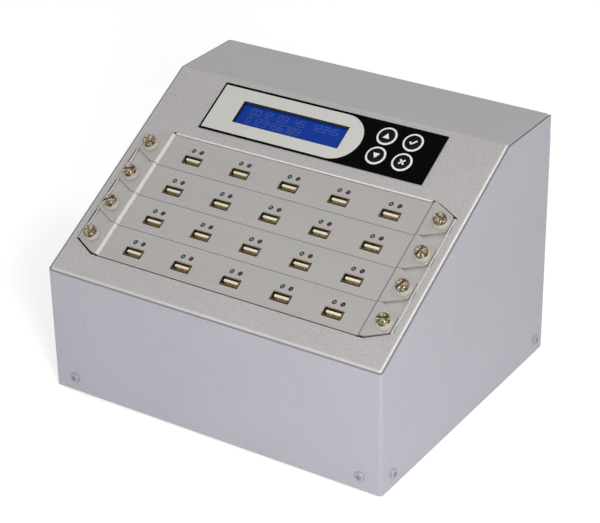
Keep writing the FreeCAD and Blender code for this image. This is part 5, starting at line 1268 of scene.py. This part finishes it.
class DUPLICATOR_OT_stage(DuplicatorStep):
    """Makes the camera, the pale floor, the lights and the background"""
    bl_idname = "duplicator.stage"
    bl_label = "Stage"

    def execute(self, context):
        self.camera()
        self.floor()
        self.world()
        for name, light in LIGHTS.items():
            self.light(name, *light)
        context.scene.view_settings.view_transform = "Standard"
        return DONE

    def camera(self):
        case_width = 255 * MM
        azimuth = math.radians(33.457)
        elevation = math.radians(28.11)
        roll = math.radians(-0.998)
        distance = 5.3855 * case_width
        shift_right = 0.0057 * case_width
        shift_up = -0.2756 * case_width
        base_middle = Vector((0, -1.539 * MM, 4 * MM))
        forward = Vector((-math.sin(azimuth) * math.cos(elevation),
                          math.cos(azimuth) * math.cos(elevation), -math.sin(elevation)))
        level_right = Vector((math.cos(azimuth), math.sin(azimuth), 0))
        level_up = level_right.cross(forward)
        right = level_right * math.cos(roll) + level_up * math.sin(roll)
        up = level_up * math.cos(roll) - level_right * math.sin(roll)
        camera = bpy.data.cameras.new("camera")
        camera.sensor_width = 36
        camera.lens = 120.5
        camera.clip_start = 0.05
        camera.clip_end = 50
        item = add_object("camera", camera)
        place = base_middle - forward * distance - right * shift_right - up * shift_up
        item.matrix_world = frame_matrix(place, right, up, -forward)
        bpy.context.scene.camera = item

    def floor(self):
        mesh = bpy.data.meshes.new("floor")
        mesh.from_pydata([(x * FLOOR_REACH, y * FLOOR_REACH, 0)
                          for x, y in ((-1, -1), (1, -1), (1, 1), (-1, 1))], [], [(0, 1, 2, 3)])
        item = add_object("floor", mesh)
        tree, shader = new_material("floor_paper", (FLOOR_TONE,) * 3, 0.0, 0.9)
        glow = add_node(tree, "Emission", {
            "Color": (1, 1, 1, 1),
            "Strength": spread(tree, shown_only(tree), 0, FLOOR_GLOW, 0, 1)})["Emission"]
        both = add_node(tree, "AddShader", {0: shader.outputs["BSDF"], 1: glow})["Shader"]
        join(tree.nodes["Material Output"].inputs["Surface"], both)
        mesh.materials.append(materials["floor_paper"])

    def world(self):
        world = bpy.data.worlds.new("studio")
        world.use_nodes = True
        tree = world.node_tree
        dress(tree.nodes["Background"], Color=(1, 1, 1, 1),
              Strength=spread(tree, shown_only(tree), WORLD_STRENGTH, 1.0, 0, 1))
        bpy.context.scene.world = world

    def light(self, name, place, target, width, height, power):
        light = bpy.data.lights.new(name, "AREA")
        light.shape = "RECTANGLE"
        light.size = width
        light.size_y = height
        light.energy = power
        item = add_object(name, light)
        item.location = place
        item.rotation_euler = (Vector(target) - Vector(place)).to_track_quat("-Z", "Y").to_euler()


STEPS = (DUPLICATOR_OT_finishes, DUPLICATOR_OT_cover, DUPLICATOR_OT_rails,
         DUPLICATOR_OT_port_plates, DUPLICATOR_OT_sockets, DUPLICATOR_OT_lamps,
         DUPLICATOR_OT_thumbscrews, DUPLICATOR_OT_label, DUPLICATOR_OT_keys,
         DUPLICATOR_OT_display, DUPLICATOR_OT_stage)


class DUPLICATOR_PT_panel(bpy.types.Panel):
    """Lists the steps, sizes and colours in the 3D view's sidebar"""
    bl_idname = "DUPLICATOR_PT_panel"
    bl_label = "Duplicator"
    bl_space_type = "VIEW_3D"
    bl_region_type = "UI"
    bl_category = "Duplicator"

    def draw(self, context):
        for step in STEPS:
            self.layout.operator(step.bl_idname)
        for group in (context.scene.duplicator_sizes, context.scene.duplicator_colours):
            for name in group.__annotations__:
                self.layout.prop(group, name)


CLASSES = (DuplicatorSizes, DuplicatorColours) + STEPS + (DUPLICATOR_PT_panel,)


def register():
    for item in CLASSES:
        bpy.utils.register_class(item)
    bpy.types.Scene.duplicator_sizes = bpy.props.PointerProperty(type=DuplicatorSizes)
    bpy.types.Scene.duplicator_colours = bpy.props.PointerProperty(type=DuplicatorColours)


def unregister():
    del bpy.types.Scene.duplicator_colours
    del bpy.types.Scene.duplicator_sizes
    for item in reversed(CLASSES):
        bpy.utils.unregister_class(item)


def main():
    register()
    for step in STEPS:
        group, name = step.bl_idname.split(".")
        getattr(getattr(bpy.ops, group), name)()


if __name__ == "__main__":
    main()
